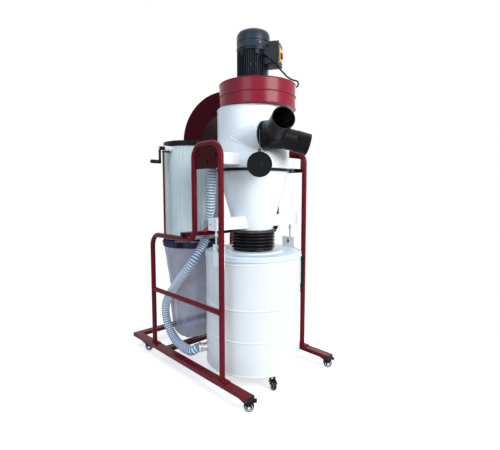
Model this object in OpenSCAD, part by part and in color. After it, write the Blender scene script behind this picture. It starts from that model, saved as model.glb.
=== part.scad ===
// Mobile cyclone dust extraction unit.
// A white cyclone with its blower and motor stands in a welded tube frame on casters.
// A filter with a dust bag stands behind it, and a lever-lifted drum stands under it.
// Millimetres, +Z up, front towards -Y, floor at z = 0.

/* [Base] */
// Width over the base rails
base_w = 598; // [560:1:720]
// Length of the base, from the rails' front ends to the rear face
base_l = 975; // [900:1:1170]
// Width of a base rail
rail_w = 40; // [34:1:48]
// Height of a base rail
rail_h = 20; // [15:1:24]
// Underside of the rails above the floor
rail_z = 54; // [50:1:60]

/* [Tube frame] */
// Outer diameter of the frame tubes
tube_d = 25; // [20:1:28]
// Front posts behind the rails' front ends
front_post_y = 181; // [170:1:190]
// Length of the high loop, between the centres of its legs
loop_l = 191; // [185:1:200]
// Top of the high loop above the barrel's bottom
loop_rise = 119; // [110:1:140]
// Rear posts ahead of the rear face
rear_post_inset = 215.5; // [180:0.5:230]
// Height of the low side tube's centre
side_tube_z = 672; // [660:1:680]
// Height of the brace between the posts
brace_z = 375; // [330:1:430]
// Outer diameter of the brace
brace_d = 24; // [18:1:24]
// Thickness of the gusset plates
gusset_t = 4; // [3:1:6]

/* [Cyclone] */
// Cyclone's axis behind the rails' front ends
cyclone_y = 274; // [270:1:280]
// Diameter of the barrel
barrel_d = 344; // [300:1:360]
// Bottom of the barrel
barrel_z = 997; // [960:1:1040]
// Height of the barrel
barrel_h = 282; // [260:1:330]
// Diameter of the cone's outlet
outlet_d = 184; // [154:1:200]
// Bottom of the cone
outlet_z = 716; // [700:1:725]
// Outer diameter of the round inlet duct
inlet_d = 120; // [100:1:130]
// Outer diameter of the two hose branches
branch_d = 93; // [80:1:98]
// Wall of the inlet duct and of the branches
duct_wall = 2.5; // [1.5:0.5:3]

/* [Blower and motor] */
// Diameter of the blower housing
housing_d = 360; // [340:1:400]
// Height of the blower housing
housing_h = 111; // [92:1:133]
// Width of the outlet duct
duct_w = 150; // [125:1:160]
// Diameter of the motor body
motor_d = 157; // [140:1:170]
// Height of the motor body
motor_h = 165; // [140:1:198]
// Height of the fan cowl
cowl_h = 85; // [70:1:100]

/* [Filter] */
// Diameter of the filter cartridge
filter_d = 300; // [250:1:302]
// Upper face of the filter
filter_top_z = 1156; // [1140:1:1170]
// Bottom of the filter cartridge
filter_z = 640; // [610:1:642]

/* [Drum] */
// Diameter of the drum
drum_d = 464; // [390:1:480]
// Height of the drum body
drum_h = 532; // [520:1:534]
// Underside of the drum above the floor
drum_z = 68; // [66:1:72]
// Wall of the drum
drum_wall = 2; // [1.5:0.5:4]
// How far the levers lift the drum
lift_travel = 12; // [6:1:14]

/* [Casters] */
// Wheel diameter of the frame casters
frame_wheel_d = 41; // [34:1:41]
// Wheel diameter of the drum casters
drum_wheel_d = 46; // [38:1:50]
// Width of a wheel
wheel_w = 16; // [12:1:20]
// Rest direction of the frame casters
frame_caster_yaw = -44; // [-90:1:90]
// Rest direction of the drum casters
drum_caster_yaw = -110; // [-180:1:180]

/* [Hidden] */
$fn = 48;

// The origin lies under the middle of the whole unit.
mid_x = 11;
front_y = -446;
touch = 1;
fit = 0.05;

// Base and frame
cap_t = 4;
foot_t = 4;
foot_l = 64;
rail_top = rail_z + rail_h;
half_w = base_w / 2;
post_x = half_w - rail_w / 2;
post_z = rail_top + foot_t;
front_post = front_y + front_post_y;
back_leg = front_post + loop_l;
rear_face = front_y + base_l;
rear_post = rear_face - rear_post_inset;
middle_bar_inset = 318;
upper_bar_gap = 82;
upper_bar_inset = 8;
upper_bar_d = 40;
loop_r = 60;
knee_r = 55;
shoulder_r = 62.5;
loop_z = barrel_z + loop_rise - tube_d / 2;

// Cyclone
cyc_y = front_y + cyclone_y;
barrel_top = barrel_z + barrel_h;
bracket_z = barrel_z + 19;
bracket_h = 50;
bracket_w = 148;
band_h = 12;
band_t = 4;
band_lug_turn = -44;
band_lug_l = 26;
band_lug_w = 10;
inlet_turn = 10;
inlet_off = [-111, -16];
inlet_z = barrel_z + 144;
inlet_l = 165;
collar_start = 147;
fork_start = 184;
collar_t = 2.5;
branch_l = 162;
cuff_l = 60;        // round seat of a hose at the end of each branch
cuff_t = 1;
branch_angle = 43;
branch_roll = -22;
lug_along = 164;
lug_z = 18;
lug_w = 8;
cap_d = 106;
cap_flange = 6;
cap_plug = 16;
cap_eye = 13;
cap_z = 1011;
cap_turn = -44;
lanyard_d = 2.5;

// Blower, motor and cord
housing_off = [8, -20];
duct_turn = 20;
duct_l = 196;
seam_z = barrel_top + 52;
seam_h = 5;
seam_t = 2;
motor_z = barrel_top + housing_h;
cowl_z = motor_z + motor_h;
cowl_d = motor_d + 3;
box_turn = -60;
box_out = 131;
box_w = 90;
box_h = 100;
box_z = cowl_z + 23 - box_h;
plate_w = 56;
plate_h = 58;
plate_low = 14;
switch_t = 3;
button_r = 14;
button_h = 9;
gland_out = 72;
gland_z = box_z + 37;
gland_d = 16;
gland_l = 14;
cord_d = 8;
coil_pos = [73, -51];
coil_r = 41;
coil_w = 24;
coil_h = 16;
plug_l = 45;
plug_w = 24;
plug_h = 18;
blade_gap = 12;
blade_l = 16;
plug_turn = 110;
plug_from = 22;

// Filter and crank
filter_off = [-80, 394];
top_plate_t = 16;
band_d = filter_d + 30;
bag_band_h = 34;
crank_y = front_y + 645;
crank_z = filter_top_z - 41;
crank_r = 68;
crank_post_d = 10;
crank_x = 7 - post_x;
crank_arm_x = crank_x - 17;
crank_arm_t = 6;
crank_hub_r = 9.5;
crank_grip_r = 8;
crank_out = half_w + 43;
bearing_r = 13;
bearing_l = 60;
bearing_drop = 7;
shaft_r = 6;
shaft_l = 25;
strap_w = 16;
strap_l = 34;

// Drum and its lift
lid_z = drum_z + drum_h;
lid_h = 15;
lid_t = 3;
ring_r = 136;
skirt_h = 10;
rib_n = 5;
collar_h = 14;
bead_z = [160, 304];
lift_y = cyc_y - 24;
arm_z = outlet_z + 12;
arm_h = 54;
arm_w = 50;
arm_end = post_x - 4;
arm_wall = 4;
pocket_l = 31;
rod_x = arm_end - 24;
rod_r = 4;
rod_rise = 32;
rod_pin_l = 26;
nut_r = 7;
nut_h = 8;
hook_w = 80;
hook_drop = 40;
hook_rise = 60;
foot_w = 40;
hook_t = 3;
hook_x = drum_d / 2 + lid_t + 0.5;
slot_top = lid_z + 52;
slot_l = lift_travel + 12;
slot_w = 12;
lever_y = lift_y + 12;
lever_z = arm_z + 26;
lever_x = arm_end - 13.5;
lever_l = 70;
lever_rest = -27;
port_angle = 152;
port_z = 145;
port_r = 20;
port_l = 24;
hose_d = 46;
hose_gap = 0.3;
hose_elbow_angle = 149;
hose_elbow_z = barrel_z + 98;
hose_elbow_r = 30;
handle_angle = -44;
handle_z = [423, 580];
handle_out = 19;
lug_h = 20;

// Casters
front_caster_y = front_y + 33;
rear_caster_y = rear_face - 120;
drum_caster_r = 205;
drum_caster_angles = [-110, 10, 130];
trail = 15;
plate_t = 4;
boss_h = 2.5;
crown_h = 4;
leg_t = 2.5;
leg_gap = 1.2;
axle_r = 3;
pin_r = 4;

// Route of the vacuum hose, from the elbow on the barrel down to the drum's port
hose_points = [
    [-162, -68, 965], [-161, -60, 890], [-156, -46, 815], [-144, -15, 776], [-121, 33, 744],
    [-113, 52, 711], [-116, 51, 672], [-130, 40, 645], [-148, 32, 626], [-185, 23, 588],
    [-209, 29, 552], [-226, 68, 500], [-230, 153, 417], [-230, 224, 345], [-230, 258, 285],
    [-230, 254, 222], [-231, 220, 165], [-233, 164, 126], [-238, 94, 112], [-245, 19, 114],
    [-249, -21, 128]
];

// Route of the power cord, from the gland over the housing's rim to the coil
cord_points = [
    [-19, -276, 1511], [-14, -290, 1500], [14, -297, 1481], [65, -302, 1450], [115, -310, 1415],
    [145, -316, 1402], [165, -320, 1395], [177, -314, 1384], [182, -302, 1377],
    [184, -288, 1382], [178, -278, 1394], [163, -259, 1397], [149, -211, 1396],
    [131, -146, 1396]
];

function unit(v) = v / norm(v);

function spline(a, b, c, d, t) = 0.5 * (2 * b + (c - a) * t
    + (2 * a - 5 * b + 4 * c - d) * t * t + (3 * b - a - 3 * c + d) * t * t * t);

function smooth(p, n) = concat(
    [for (i = [0 : len(p) - 2], k = [0 : n - 1])
        spline(p[max(i - 1, 0)], p[i], p[i + 1], p[min(i + 2, len(p) - 1)], k / n)],
    [p[len(p) - 1]]);

function tangents(p) = [for (i = [0 : len(p) - 1])
    unit(p[min(i + 1, len(p) - 1)] - p[max(i - 1, 0)])];

function carried(t, v, i = 0) = i == len(t) ? []
    : let (m = unit(v - (v * t[i]) * t[i])) concat([m], carried(t, m, i + 1));

// A round tube along a route, with square ends and k sides
module swept(p, d, k) {
    n = len(p);
    t = tangents(p);
    u = carried(t, [0.3, 0.5, 0.8]);
    rings = [for (i = [0 : n - 1], j = [0 : k - 1])
        p[i] + d / 2 * (cos(360 * j / k) * u[i] + sin(360 * j / k) * cross(t[i], u[i]))];
    sides = [for (i = [0 : n - 2], j = [0 : k - 1], h = [0, 1])
        let (a = i * k + j, b = i * k + (j + 1) % k)
        h == 0 ? [a, a + k, b] : [b, a + k, b + k]];
    ends = [[for (j = [0 : k - 1]) j], [for (j = [k - 1 : -1 : 0]) (n - 1) * k + j]];
    polyhedron(rings, concat(sides, ends));
}

// Placement helpers
module mirrored() {
    translate([2 * mid_x, 0, 0]) mirror([1, 0, 0]) children();
}

module both_sides() {
    children();
    mirrored() children();
}

module at_cyclone(z = 0) {
    translate([mid_x, cyc_y, z]) children();
}

module at_filter(z = 0) {
    translate([mid_x + filter_off[0], cyc_y + filter_off[1], z]) children();
}

module at_housing(z = 0) {
    translate([mid_x + housing_off[0], cyc_y + housing_off[1], z]) children();
}

module along_inlet() {
    translate([mid_x + inlet_off[0], cyc_y + inlet_off[1], inlet_z])
        rotate([90, 0, inlet_turn]) children();
}

module in_side_plane(x) {
    translate([mid_x + x, 0, 0]) rotate([90, 0, 90]) children();
}

module block(low, high) {
    translate(low) cube(high - low);
}

// Base
module base_rails() {
    color("#5a1722") both_sides()
        block([mid_x - half_w, front_y + cap_t, rail_z],
            [mid_x - half_w + rail_w, rear_face - rail_w, rail_top]);
}

module base_crossbars() {
    bar_y = rear_face - middle_bar_inset;
    color("#5a1722") {
        block([mid_x - half_w + cap_t, rear_face - rail_w, rail_z],
            [mid_x + half_w - cap_t, rear_face, rail_top]);
        block([mid_x - half_w + rail_w, bar_y - rail_w / 2, rail_z],
            [mid_x + half_w - rail_w, bar_y + rail_w / 2, rail_top]);
    }
}

module upper_crossbar() {
    bar_y = back_leg + upper_bar_gap;
    bar_z = side_tube_z + tube_d / 2;
    bar_x = half_w - upper_bar_inset - cap_t;
    color("#5a1722") block([mid_x - bar_x, bar_y - upper_bar_d / 2, bar_z],
        [mid_x + bar_x, bar_y + upper_bar_d / 2, bar_z + rail_h]);
}

module end_caps() {
    bar_y = back_leg + upper_bar_gap;
    bar_z = side_tube_z + tube_d / 2;
    bar_x = half_w - upper_bar_inset;
    color("#1a1a1c") both_sides() {
        block([mid_x - half_w, front_y, rail_z],
            [mid_x - half_w + rail_w, front_y + cap_t, rail_top]);
        block([mid_x - half_w, rear_face - rail_w, rail_z],
            [mid_x - half_w + cap_t, rear_face, rail_top]);
        block([mid_x - bar_x, bar_y - upper_bar_d / 2, bar_z],
            [mid_x - bar_x + cap_t, bar_y + upper_bar_d / 2, bar_z + rail_h]);
    }
}

module post_feet() {
    color("#5a1722") both_sides() for (y = [front_post, rear_post])
        block([mid_x - post_x - rail_w / 2, y - foot_l / 2, rail_top],
            [mid_x - post_x + rail_w / 2, y + foot_l / 2, post_z]);
}

// Tube frame, drawn in the side plane: x runs back, y runs up
module tube_run(x, y, l, a) {
    translate([x, y, 0]) rotate([0, 90, a]) cylinder(d = tube_d, h = l);
}

module tube_bend(x, y, r, a) {
    translate([x, y, 0]) rotate([0, 0, a]) rotate_extrude(angle = 90)
        translate([r, 0]) circle(d = tube_d);
}

module side_tube() {
    tube_run(front_post, post_z, loop_z - loop_r - post_z, 90);
    tube_bend(front_post + loop_r, loop_z - loop_r, loop_r, 90);
    tube_run(front_post + loop_r, loop_z, loop_l - 2 * loop_r, 0);
    tube_bend(back_leg - loop_r, loop_z - loop_r, loop_r, 0);
    tube_run(back_leg, side_tube_z + knee_r, loop_z - loop_r - side_tube_z - knee_r, 90);
    tube_bend(back_leg + knee_r, side_tube_z + knee_r, knee_r, 180);
    tube_run(back_leg + knee_r, side_tube_z,
        rear_post - shoulder_r - back_leg - knee_r, 0);
    tube_bend(rear_post - shoulder_r, side_tube_z - shoulder_r, shoulder_r, 0);
    tube_run(rear_post, post_z, side_tube_z - shoulder_r - post_z, 90);
}

module left_side_frame() {
    color("#6b1a28") in_side_plane(-post_x) side_tube();
}

module right_side_frame() {
    color("#6b1a28") in_side_plane(post_x) side_tube();
}

module side_braces() {
    color("#6b1a28") both_sides() in_side_plane(-post_x) difference() {
        translate([front_post, brace_z, 0]) rotate([0, 90, 0])
            cylinder(d = brace_d, h = rear_post - front_post);
        tube_run(front_post, brace_z - tube_d, 2 * tube_d, 90);
        tube_run(rear_post, brace_z - tube_d, 2 * tube_d, 90);
    }
}

module gusset_plates() {
    color("#55141f") both_sides() in_side_plane(-post_x) difference() {
        translate([0, 0, -gusset_t / 2]) {
            block([front_post, barrel_z, 0], [back_leg, loop_z - loop_r, gusset_t]);
            block([front_post + loop_r, loop_z - loop_r - touch, 0],
                [back_leg - loop_r, loop_z, gusset_t]);
            for (x = [front_post + loop_r, back_leg - loop_r])
                translate([x, loop_z - loop_r, 0]) cylinder(r = loop_r, h = gusset_t);
        }
        block([front_post - tube_d, barrel_z - loop_r, -gusset_t],
            [back_leg + tube_d, barrel_z, gusset_t]);
        side_tube();
    }
}

module barrel_brackets() {
    color("white") both_sides() difference() {
        block([mid_x - post_x + gusset_t / 2, cyc_y - bracket_w / 2, bracket_z],
            [mid_x - barrel_d / 4, cyc_y + bracket_w / 2, bracket_z + bracket_h]);
        at_cyclone(bracket_z - touch) cylinder(d = barrel_d, h = bracket_h + 2 * touch);
    }
}

// Cyclone
module cyclone_barrel() {
    color("white") at_cyclone(barrel_z) cylinder(d = barrel_d, h = barrel_h);
}

module cyclone_cone() {
    color("white") at_cyclone(outlet_z)
        cylinder(d1 = outlet_d, d2 = barrel_d, h = barrel_z - outlet_z);
}

module clamp_band() {
    color("#1a1a1c") at_cyclone(barrel_z - band_h / 2) difference() {
        union() {
            cylinder(d = barrel_d + 2 * band_t, h = band_h);
            rotate([0, 0, band_lug_turn])
                block([0, -band_lug_w / 2, 1],
                    [barrel_d / 2 + band_lug_l, band_lug_w / 2, band_h - 1]);
        }
        translate([0, 0, -touch]) cylinder(d = barrel_d, h = band_h + 2 * touch);
    }
}

module inlet_duct() {
    color("white") difference() {
        along_inlet() cylinder(d = inlet_d, h = inlet_l);
        along_inlet() translate([0, 0, -touch])
            cylinder(d = inlet_d - 2 * duct_wall, h = inlet_l + 2 * touch);
        at_cyclone(barrel_z) cylinder(d = barrel_d, h = barrel_h);
    }
}

module branch_pose(side) {
    translate([0, 0, fork_start]) rotate([0, side * branch_angle, branch_roll])
        rotate([0, 0, 45]) children();
}

module y_fitting() {
    collar_r = inlet_d / 2 + collar_t;
    hub_l = 62;
    pipe_d = branch_d - 2 * cuff_t;
    mouth_d = branch_d - 2 * duct_wall;
    color("#17181a") difference() {
        along_inlet() {
            translate([0, 0, collar_start])
                cylinder(r = collar_r, h = fork_start - collar_start);
            for (side = [-1, 1]) {
                branch_pose(side) {
                    cylinder(d = pipe_d, h = branch_l - cuff_l + touch);
                    translate([0, 0, branch_l - cuff_l]) cylinder(d = branch_d, h = cuff_l);
                }
                hull() {
                    translate([0, 0, fork_start - 8])
                        cylinder(r = collar_r - 1, h = 6, $fn = 32);
                    branch_pose(side) translate([0, 0, hub_l])
                        cylinder(d = pipe_d - 2, h = 2, $fn = 32);
                }
            }
            translate([-collar_r - lug_w, lug_z, lug_along - lug_w / 2])
                cube([lug_w + 3, 3, lug_w]);
        }
        along_inlet() {
            translate([0, 0, collar_start - touch])
                cylinder(d = inlet_d, h = inlet_l - collar_start + touch);
            cylinder(d = inlet_d - 2 * duct_wall - 4, h = fork_start + 8);
            for (side = [-1, 1])
                branch_pose(side) translate([0, 0, -12])
                    cylinder(d = mouth_d, h = branch_l + 12 + touch);
        }
        at_cyclone(barrel_z) cylinder(d = barrel_d, h = barrel_h);
    }
}

// The inlet's closing cap hangs from the collar on a thin lanyard.
lug_x = -inlet_d / 2 - collar_t - lug_w / 2;
lanyard_x = mid_x + inlet_off[0] + lug_x * cos(inlet_turn) + lug_along * sin(inlet_turn);
lanyard_y = cyc_y + inlet_off[1] + lug_x * sin(inlet_turn) - lug_along * cos(inlet_turn);

module lanyard() {
    top = inlet_z + lug_z;
    low = cap_z + cap_d / 2 + cap_eye;
    color("#c8c8c8") swept([
        [lanyard_x, lanyard_y, top],
        [lanyard_x, lanyard_y, (top + low) / 2],
        [lanyard_x, lanyard_y, low]
    ], lanyard_d, 8);
}

module inlet_cap() {
    color("#17181a") translate([lanyard_x, lanyard_y, cap_z]) rotate([90, 0, cap_turn]) {
        translate([0, 0, -cap_flange / 2]) cylinder(d = cap_d, h = cap_flange);
        translate([0, 0, -cap_flange / 2 - cap_plug])
            cylinder(d = branch_d - 2 * duct_wall - 1, h = cap_plug);
        difference() {
            block([-6, cap_d / 2 - 3, -cap_flange / 2], [6, cap_d / 2 + cap_eye, cap_flange / 2]);
            translate([0, cap_d / 2 + 6, -cap_flange]) cylinder(r = 3, h = 2 * cap_flange);
        }
    }
}

// Blower
module blower_housing() {
    color("#7c2230") {
        at_housing(barrel_top) {
            cylinder(d = housing_d, h = housing_h);
            rotate([0, 0, duct_turn]) cube([duct_w, duct_l, housing_h]);
        }
        at_housing(seam_z) cylinder(d = housing_d + 2 * seam_t, h = seam_h);
    }
}

module outlet_elbow() {
    inner_r = barrel_top - filter_top_z;
    color("#5a1722") at_housing(filter_top_z) rotate([0, 0, duct_turn])
        translate([0, duct_l, 0]) rotate([90, 0, 90]) rotate_extrude(angle = 90)
            translate([inner_r, 0]) square([housing_h, duct_w]);
}

// Motor
module motor_body() {
    color("#1c2024") at_cyclone(motor_z) cylinder(d = motor_d, h = motor_h);
}

module fan_cowl() {
    r = cowl_d / 2;
    color("#2a3036") at_cyclone(cowl_z) rotate_extrude() polygon([
        [0, 0], [r, 0], [r, cowl_h - 22], [r - 5, cowl_h - 10],
        [r - 20, cowl_h - 2], [r - 40, cowl_h], [0, cowl_h]
    ]);
}

module switch_box() {
    color("#23272b") at_cyclone() rotate([0, 0, box_turn]) {
        difference() {
            block([0, -box_w / 2, box_z], [box_out, box_w / 2, box_z + box_h]);
            translate([0, 0, box_z - touch]) cylinder(d = motor_d, h = cowl_z - box_z + touch);
            translate([0, 0, cowl_z]) cylinder(d = cowl_d, h = box_z + box_h - cowl_z + touch);
            block([-box_w, -box_w, box_z - touch], [0, box_w, box_z + box_h + touch]);
        }
        translate([gland_out, -box_w / 2, gland_z]) rotate([90, 0, 0])
            cylinder(d = gland_d, h = gland_l);
    }
}

module switch_plate() {
    color("#e8b020") at_cyclone() rotate([0, 0, box_turn]) {
        block([box_out, -plate_w / 2, box_z + plate_low],
            [box_out + switch_t, plate_w / 2, box_z + plate_low + plate_h]);
        translate([box_out + switch_t, 0, box_z + plate_low + plate_h / 2])
            rotate([0, 90, 0]) cylinder(r = button_r, h = button_h);
    }
}

// Power cord
gland_end = [
    mid_x + gland_out * cos(box_turn) + (box_w / 2 + gland_l) * sin(box_turn),
    cyc_y + gland_out * sin(box_turn) - (box_w / 2 + gland_l) * cos(box_turn),
    gland_z
];
gland_way = [sin(box_turn), -cos(box_turn), 0];
coil_way = unit([131, -146] - coil_pos);
coil_end = [
    coil_pos[0] + (coil_r + coil_w / 2) * coil_way[0],
    coil_pos[1] + (coil_r + coil_w / 2) * coil_way[1],
    motor_z + coil_h / 2
];

module power_cord() {
    color("#17181a") swept(concat(
        [gland_end, gland_end + 4 * gland_way],
        smooth(concat([gland_end + 8 * gland_way], cord_points,
            [coil_end + 10 * [coil_way[0], coil_way[1], 0]]), 3),
        [coil_end]
    ), cord_d, 8);
}

module cord_coil() {
    w = coil_w / 2;
    h = coil_h;
    color("#17181a") translate([coil_pos[0], coil_pos[1], motor_z]) rotate_extrude()
        translate([coil_r, 0]) polygon([
            [-w + 5, 0], [w - 5, 0], [w, 5], [w, h - 5],
            [w - 5, h], [-w + 5, h], [-w, h - 5], [-w, 5]
        ]);
}

module power_plug() {
    side = coil_r + coil_w / 2 - cord_d / 2;
    face = plug_from + plug_l;
    color("#17181a") translate([coil_pos[0], coil_pos[1], motor_z])
        rotate([0, 0, plug_turn]) {
            difference() {
                block([side - plug_w / 2, plug_from, 1], [side + plug_w / 2, face, plug_h + 1]);
                cylinder(r = coil_r + coil_w / 2, h = 2 * plug_h);
            }
            for (x = [-blade_gap / 2, blade_gap / 2])
                block([side + x - 1, face, 8], [side + x + 1, face + blade_l, 14]);
        }
}

// Filter
module filter_top_plate() {
    color("#1a1a1c") at_filter(filter_top_z - top_plate_t)
        cylinder(d = filter_d + 4, h = top_plate_t);
}

module filter_cartridge() {
    color("#d8e0d8") at_filter(filter_z)
        cylinder(d = filter_d, h = filter_top_z - top_plate_t - filter_z);
}

module bag_band() {
    color("#20283c") at_filter(filter_z - bag_band_h) cylinder(d = band_d, h = bag_band_h);
}

module dust_bag() {
    top = filter_z - bag_band_h;
    color("#9c98ac") at_filter() hull() {
        translate([0, 0, top - 4]) cylinder(d = band_d - 4, h = 4, $fn = 32);
        translate([12, -4, 377]) cylinder(r = 143, h = 20, $fn = 32);
        translate([8, 4, 240]) cylinder(r = 130, h = 20, $fn = 32);
        translate([0, 6, rail_top + 20]) rotate([-2, -3, 0]) cylinder(r = 100, h = 20, $fn = 32);
    }
}

// Filter cleaning crank
module crank_post() {
    x = mid_x + crank_x;
    y = crank_y - strap_w / 2;
    strap_z = crank_z - bearing_r - bearing_drop;
    bore = shaft_r + fit;
    color("#5a1722") {
        difference() {
            translate([x, crank_y, side_tube_z])
                cylinder(d = crank_post_d, h = strap_z - side_tube_z);
            in_side_plane(-post_x) side_tube();
        }
        block([x - crank_post_d / 2, y, strap_z],
            [x + strap_l, y + strap_w, crank_z - bearing_r]);
        block([x + shaft_r, y, strap_z], [x + strap_l, y + strap_w, crank_z - bearing_r + 4]);
        difference() {
            translate([x + crank_post_d / 2, crank_y, crank_z]) rotate([0, 90, 0])
                cylinder(r = bearing_r, h = bearing_l);
            at_filter(filter_z) cylinder(d = filter_d, h = filter_top_z - filter_z);
            translate([x + 4, crank_y, crank_z]) rotate([0, 90, 0])
                cylinder(r = bore, h = shaft_l + 5);
        }
    }
}

module crank() {
    color("#1a1a1c") translate([mid_x, crank_y, crank_z]) {
        translate([crank_arm_x - 5, 0, 0]) rotate([0, 90, 0])
            cylinder(r = crank_hub_r, h = crank_x + 4 - crank_arm_x + 5);
        translate([crank_x + 3, 0, 0]) rotate([0, 90, 0]) cylinder(r = shaft_r, h = shaft_l + 3);
        block([crank_arm_x - crank_arm_t, -7, -crank_r], [crank_arm_x, 7, 0]);
        translate([crank_arm_x - crank_arm_t, 0, -crank_r]) rotate([0, 90, 0])
            cylinder(r = 9, h = crank_arm_t);
        translate([-crank_out, 0, -crank_r]) rotate([0, 90, 0])
            cylinder(r = crank_grip_r, h = crank_arm_x - crank_arm_t + crank_out);
    }
}

// Drum
module bellows() {
    low = lid_z + lid_h;
    r = outlet_d / 2;
    top = outlet_z - collar_h;
    rib_z = low + 8;
    pitch = (top - rib_z) / rib_n;
    ribs = [for (i = [0 : rib_n - 1], q = [[6, 0.1], [15, 0.35], [15, 0.65], [6, 0.9]])
        [r + q[0], rib_z + (i + q[1]) * pitch]];
    color("#17181a") at_cyclone() rotate_extrude() polygon(concat(
        [[0, low], [r + 4, low], [r + 4, rib_z]], ribs,
        [[r + 13, top], [r + 13, outlet_z], [0, outlet_z]]));
}

module drum_body() {
    r = drum_d / 2;
    b = 5;
    beads = [for (z = bead_z, q = [[0, -b], [2, -b / 2], [2, b / 2], [0, b]])
        [r + q[0], z + q[1]]];
    color("white") at_cyclone(drum_z) rotate_extrude() polygon(concat(
        [[0, 0], [r, 0]], beads,
        [[r, drum_h], [r - drum_wall, drum_h], [r - drum_wall, drum_wall], [0, drum_wall]]));
}

module drum_lid() {
    r = drum_d / 2;
    color("#dde3ea") at_cyclone(lid_z) rotate_extrude() polygon([
        [0, 0], [r, 0], [r, -skirt_h], [r + lid_t, -skirt_h], [r + lid_t, lid_h - 7],
        [r - 3, lid_h - 3], [r - 8, lid_h - 6], [ring_r + 16, lid_h - 6], [ring_r, lid_h],
        [0, lid_h]
    ]);
}

module drum_hooks() {
    color("white") both_sides() difference() {
        union() {
            block([mid_x - hook_x - hook_t, lift_y - hook_w / 2, lid_z - hook_drop],
                [mid_x - hook_x, lift_y + hook_w / 2, lid_z + hook_rise]);
            block([mid_x - hook_x, lift_y - foot_w / 2, lid_z - hook_drop + 4],
                [mid_x - hook_x + foot_w, lift_y + foot_w / 2, lid_z - skirt_h - 2]);
        }
        at_cyclone(drum_z) cylinder(d = drum_d, h = drum_h);
        block([mid_x - hook_x - hook_t - touch, lift_y - slot_w / 2, slot_top - slot_l],
            [mid_x - hook_x + touch, lift_y + slot_w / 2, slot_top]);
    }
}

module lift_rods() {
    pin_z = slot_top - rod_r;
    color("#b8bcc0") both_sides() {
        translate([mid_x - rod_x, lift_y, pin_z])
            cylinder(r = rod_r, h = arm_z + rod_rise - pin_z);
        translate([mid_x - rod_x - 6, lift_y, pin_z]) rotate([0, 90, 0])
            cylinder(r = rod_r, h = rod_pin_l);
        translate([mid_x - rod_x, lift_y, arm_z - 24])
            cylinder(r = nut_r, h = nut_h, $fn = 6);
    }
}

module lift_arms() {
    color("white") both_sides() difference() {
        block([mid_x - arm_end, lift_y - arm_w / 2, arm_z],
            [mid_x - outlet_d / 4, lift_y + arm_w / 2, arm_z + arm_h]);
        at_cyclone(outlet_z) cylinder(d1 = outlet_d, d2 = barrel_d, h = barrel_z - outlet_z);
        block([mid_x - arm_end + arm_wall, lift_y - arm_w / 2 + arm_wall, arm_z - touch],
            [mid_x - arm_end + pocket_l, lift_y + arm_w / 2 + touch, arm_z + arm_h - arm_wall]);
        translate([mid_x - arm_end - touch, lever_y, lever_z]) rotate([0, 90, 0])
            cylinder(r = 4 + fit, h = arm_wall + 2 * touch);
    }
}

module lift_lever() {
    color("#a01822") translate([mid_x, lever_y, lever_z]) {
        translate([-arm_end, 0, 0]) rotate([0, 90, 0]) cylinder(r = 4, h = arm_end - lever_x);
        translate([-lever_x, 0, 0]) rotate([lever_rest, 0, 0]) {
            block([-2.5, 0, -6], [2.5, lever_l - 6, 6]);
            rotate([0, 90, 0]) translate([0, 0, -2.5]) cylinder(r = 7, h = 5);
            translate([0, lever_l, 0]) rotate([90, 0, 0]) cylinder(r = 6, h = 40);
        }
    }
}

module left_lift_lever() {
    lift_lever();
}

module right_lift_lever() {
    mirrored() lift_lever();
}

module drum_handle() {
    r = drum_d / 2;
    color("#1a1a1c") at_cyclone() rotate([0, 0, handle_angle]) {
        difference() {
            for (z = [handle_z[0], handle_z[1] - lug_h])
                block([r - 10, -8, z], [r + handle_out, 8, z + lug_h]);
            cylinder(r = r, h = 2 * drum_h);
        }
        translate([r + handle_out - 5, 0, handle_z[0] + lug_h / 2])
            cylinder(r = 4, h = handle_z[1] - handle_z[0] - lug_h);
    }
}

module drum_port() {
    r = drum_d / 2;
    color("#b8bcc0") at_cyclone(port_z) rotate([0, 0, port_angle]) {
        difference() {
            translate([r - 10, 0, 0]) rotate([0, 90, 0]) cylinder(r = port_r, h = port_l + 10);
            translate([0, 0, -60]) cylinder(r = r, h = 120);
        }
    }
}

// Vacuum hose
hose_top = [
    mid_x + (barrel_d / 2 + hose_elbow_r) * cos(hose_elbow_angle),
    cyc_y + (barrel_d / 2 + hose_elbow_r) * sin(hose_elbow_angle),
    hose_elbow_z - hose_elbow_r
];
port_way = [cos(port_angle), sin(port_angle), 0];
hose_low = [mid_x, cyc_y, port_z] + (drum_d / 2 + port_l + hose_gap) * port_way;

module hose_elbow() {
    color("#17181a") difference() {
        at_cyclone(hose_elbow_z) rotate([0, 0, hose_elbow_angle]) {
            translate([barrel_d / 2 - 20, 0, 0]) rotate([0, 90, 0]) cylinder(r = port_r, h = 20);
            translate([barrel_d / 2, 0, -hose_elbow_r]) rotate([90, 0, 0])
                rotate_extrude(angle = 90) translate([hose_elbow_r, 0]) circle(r = port_r);
        }
        at_cyclone(barrel_z) cylinder(d = barrel_d, h = barrel_h);
    }
}

module vacuum_hose() {
    color("#8fa3c4") swept(concat(
        [hose_top, hose_top - [0, 0, 12]],
        smooth(concat([hose_top - [0, 0, 24]], hose_points, [hose_low + 24 * port_way]), 2),
        [hose_low + 12 * port_way, hose_low]
    ), hose_d, 12);
}

// Casters: the swivel axis is the local z, the wheel trails along the local x
module caster_mount(h) {
    difference() {
        union() {
            block([-18, -18, h - plate_t], [18, 18, h]);
            translate([0, 0, h - plate_t - boss_h]) cylinder(r = 9, h = boss_h + touch);
        }
        translate([0, 0, h - plate_t - boss_h - touch])
            cylinder(r = pin_r + fit, h = boss_h + plate_t);
    }
}

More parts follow.
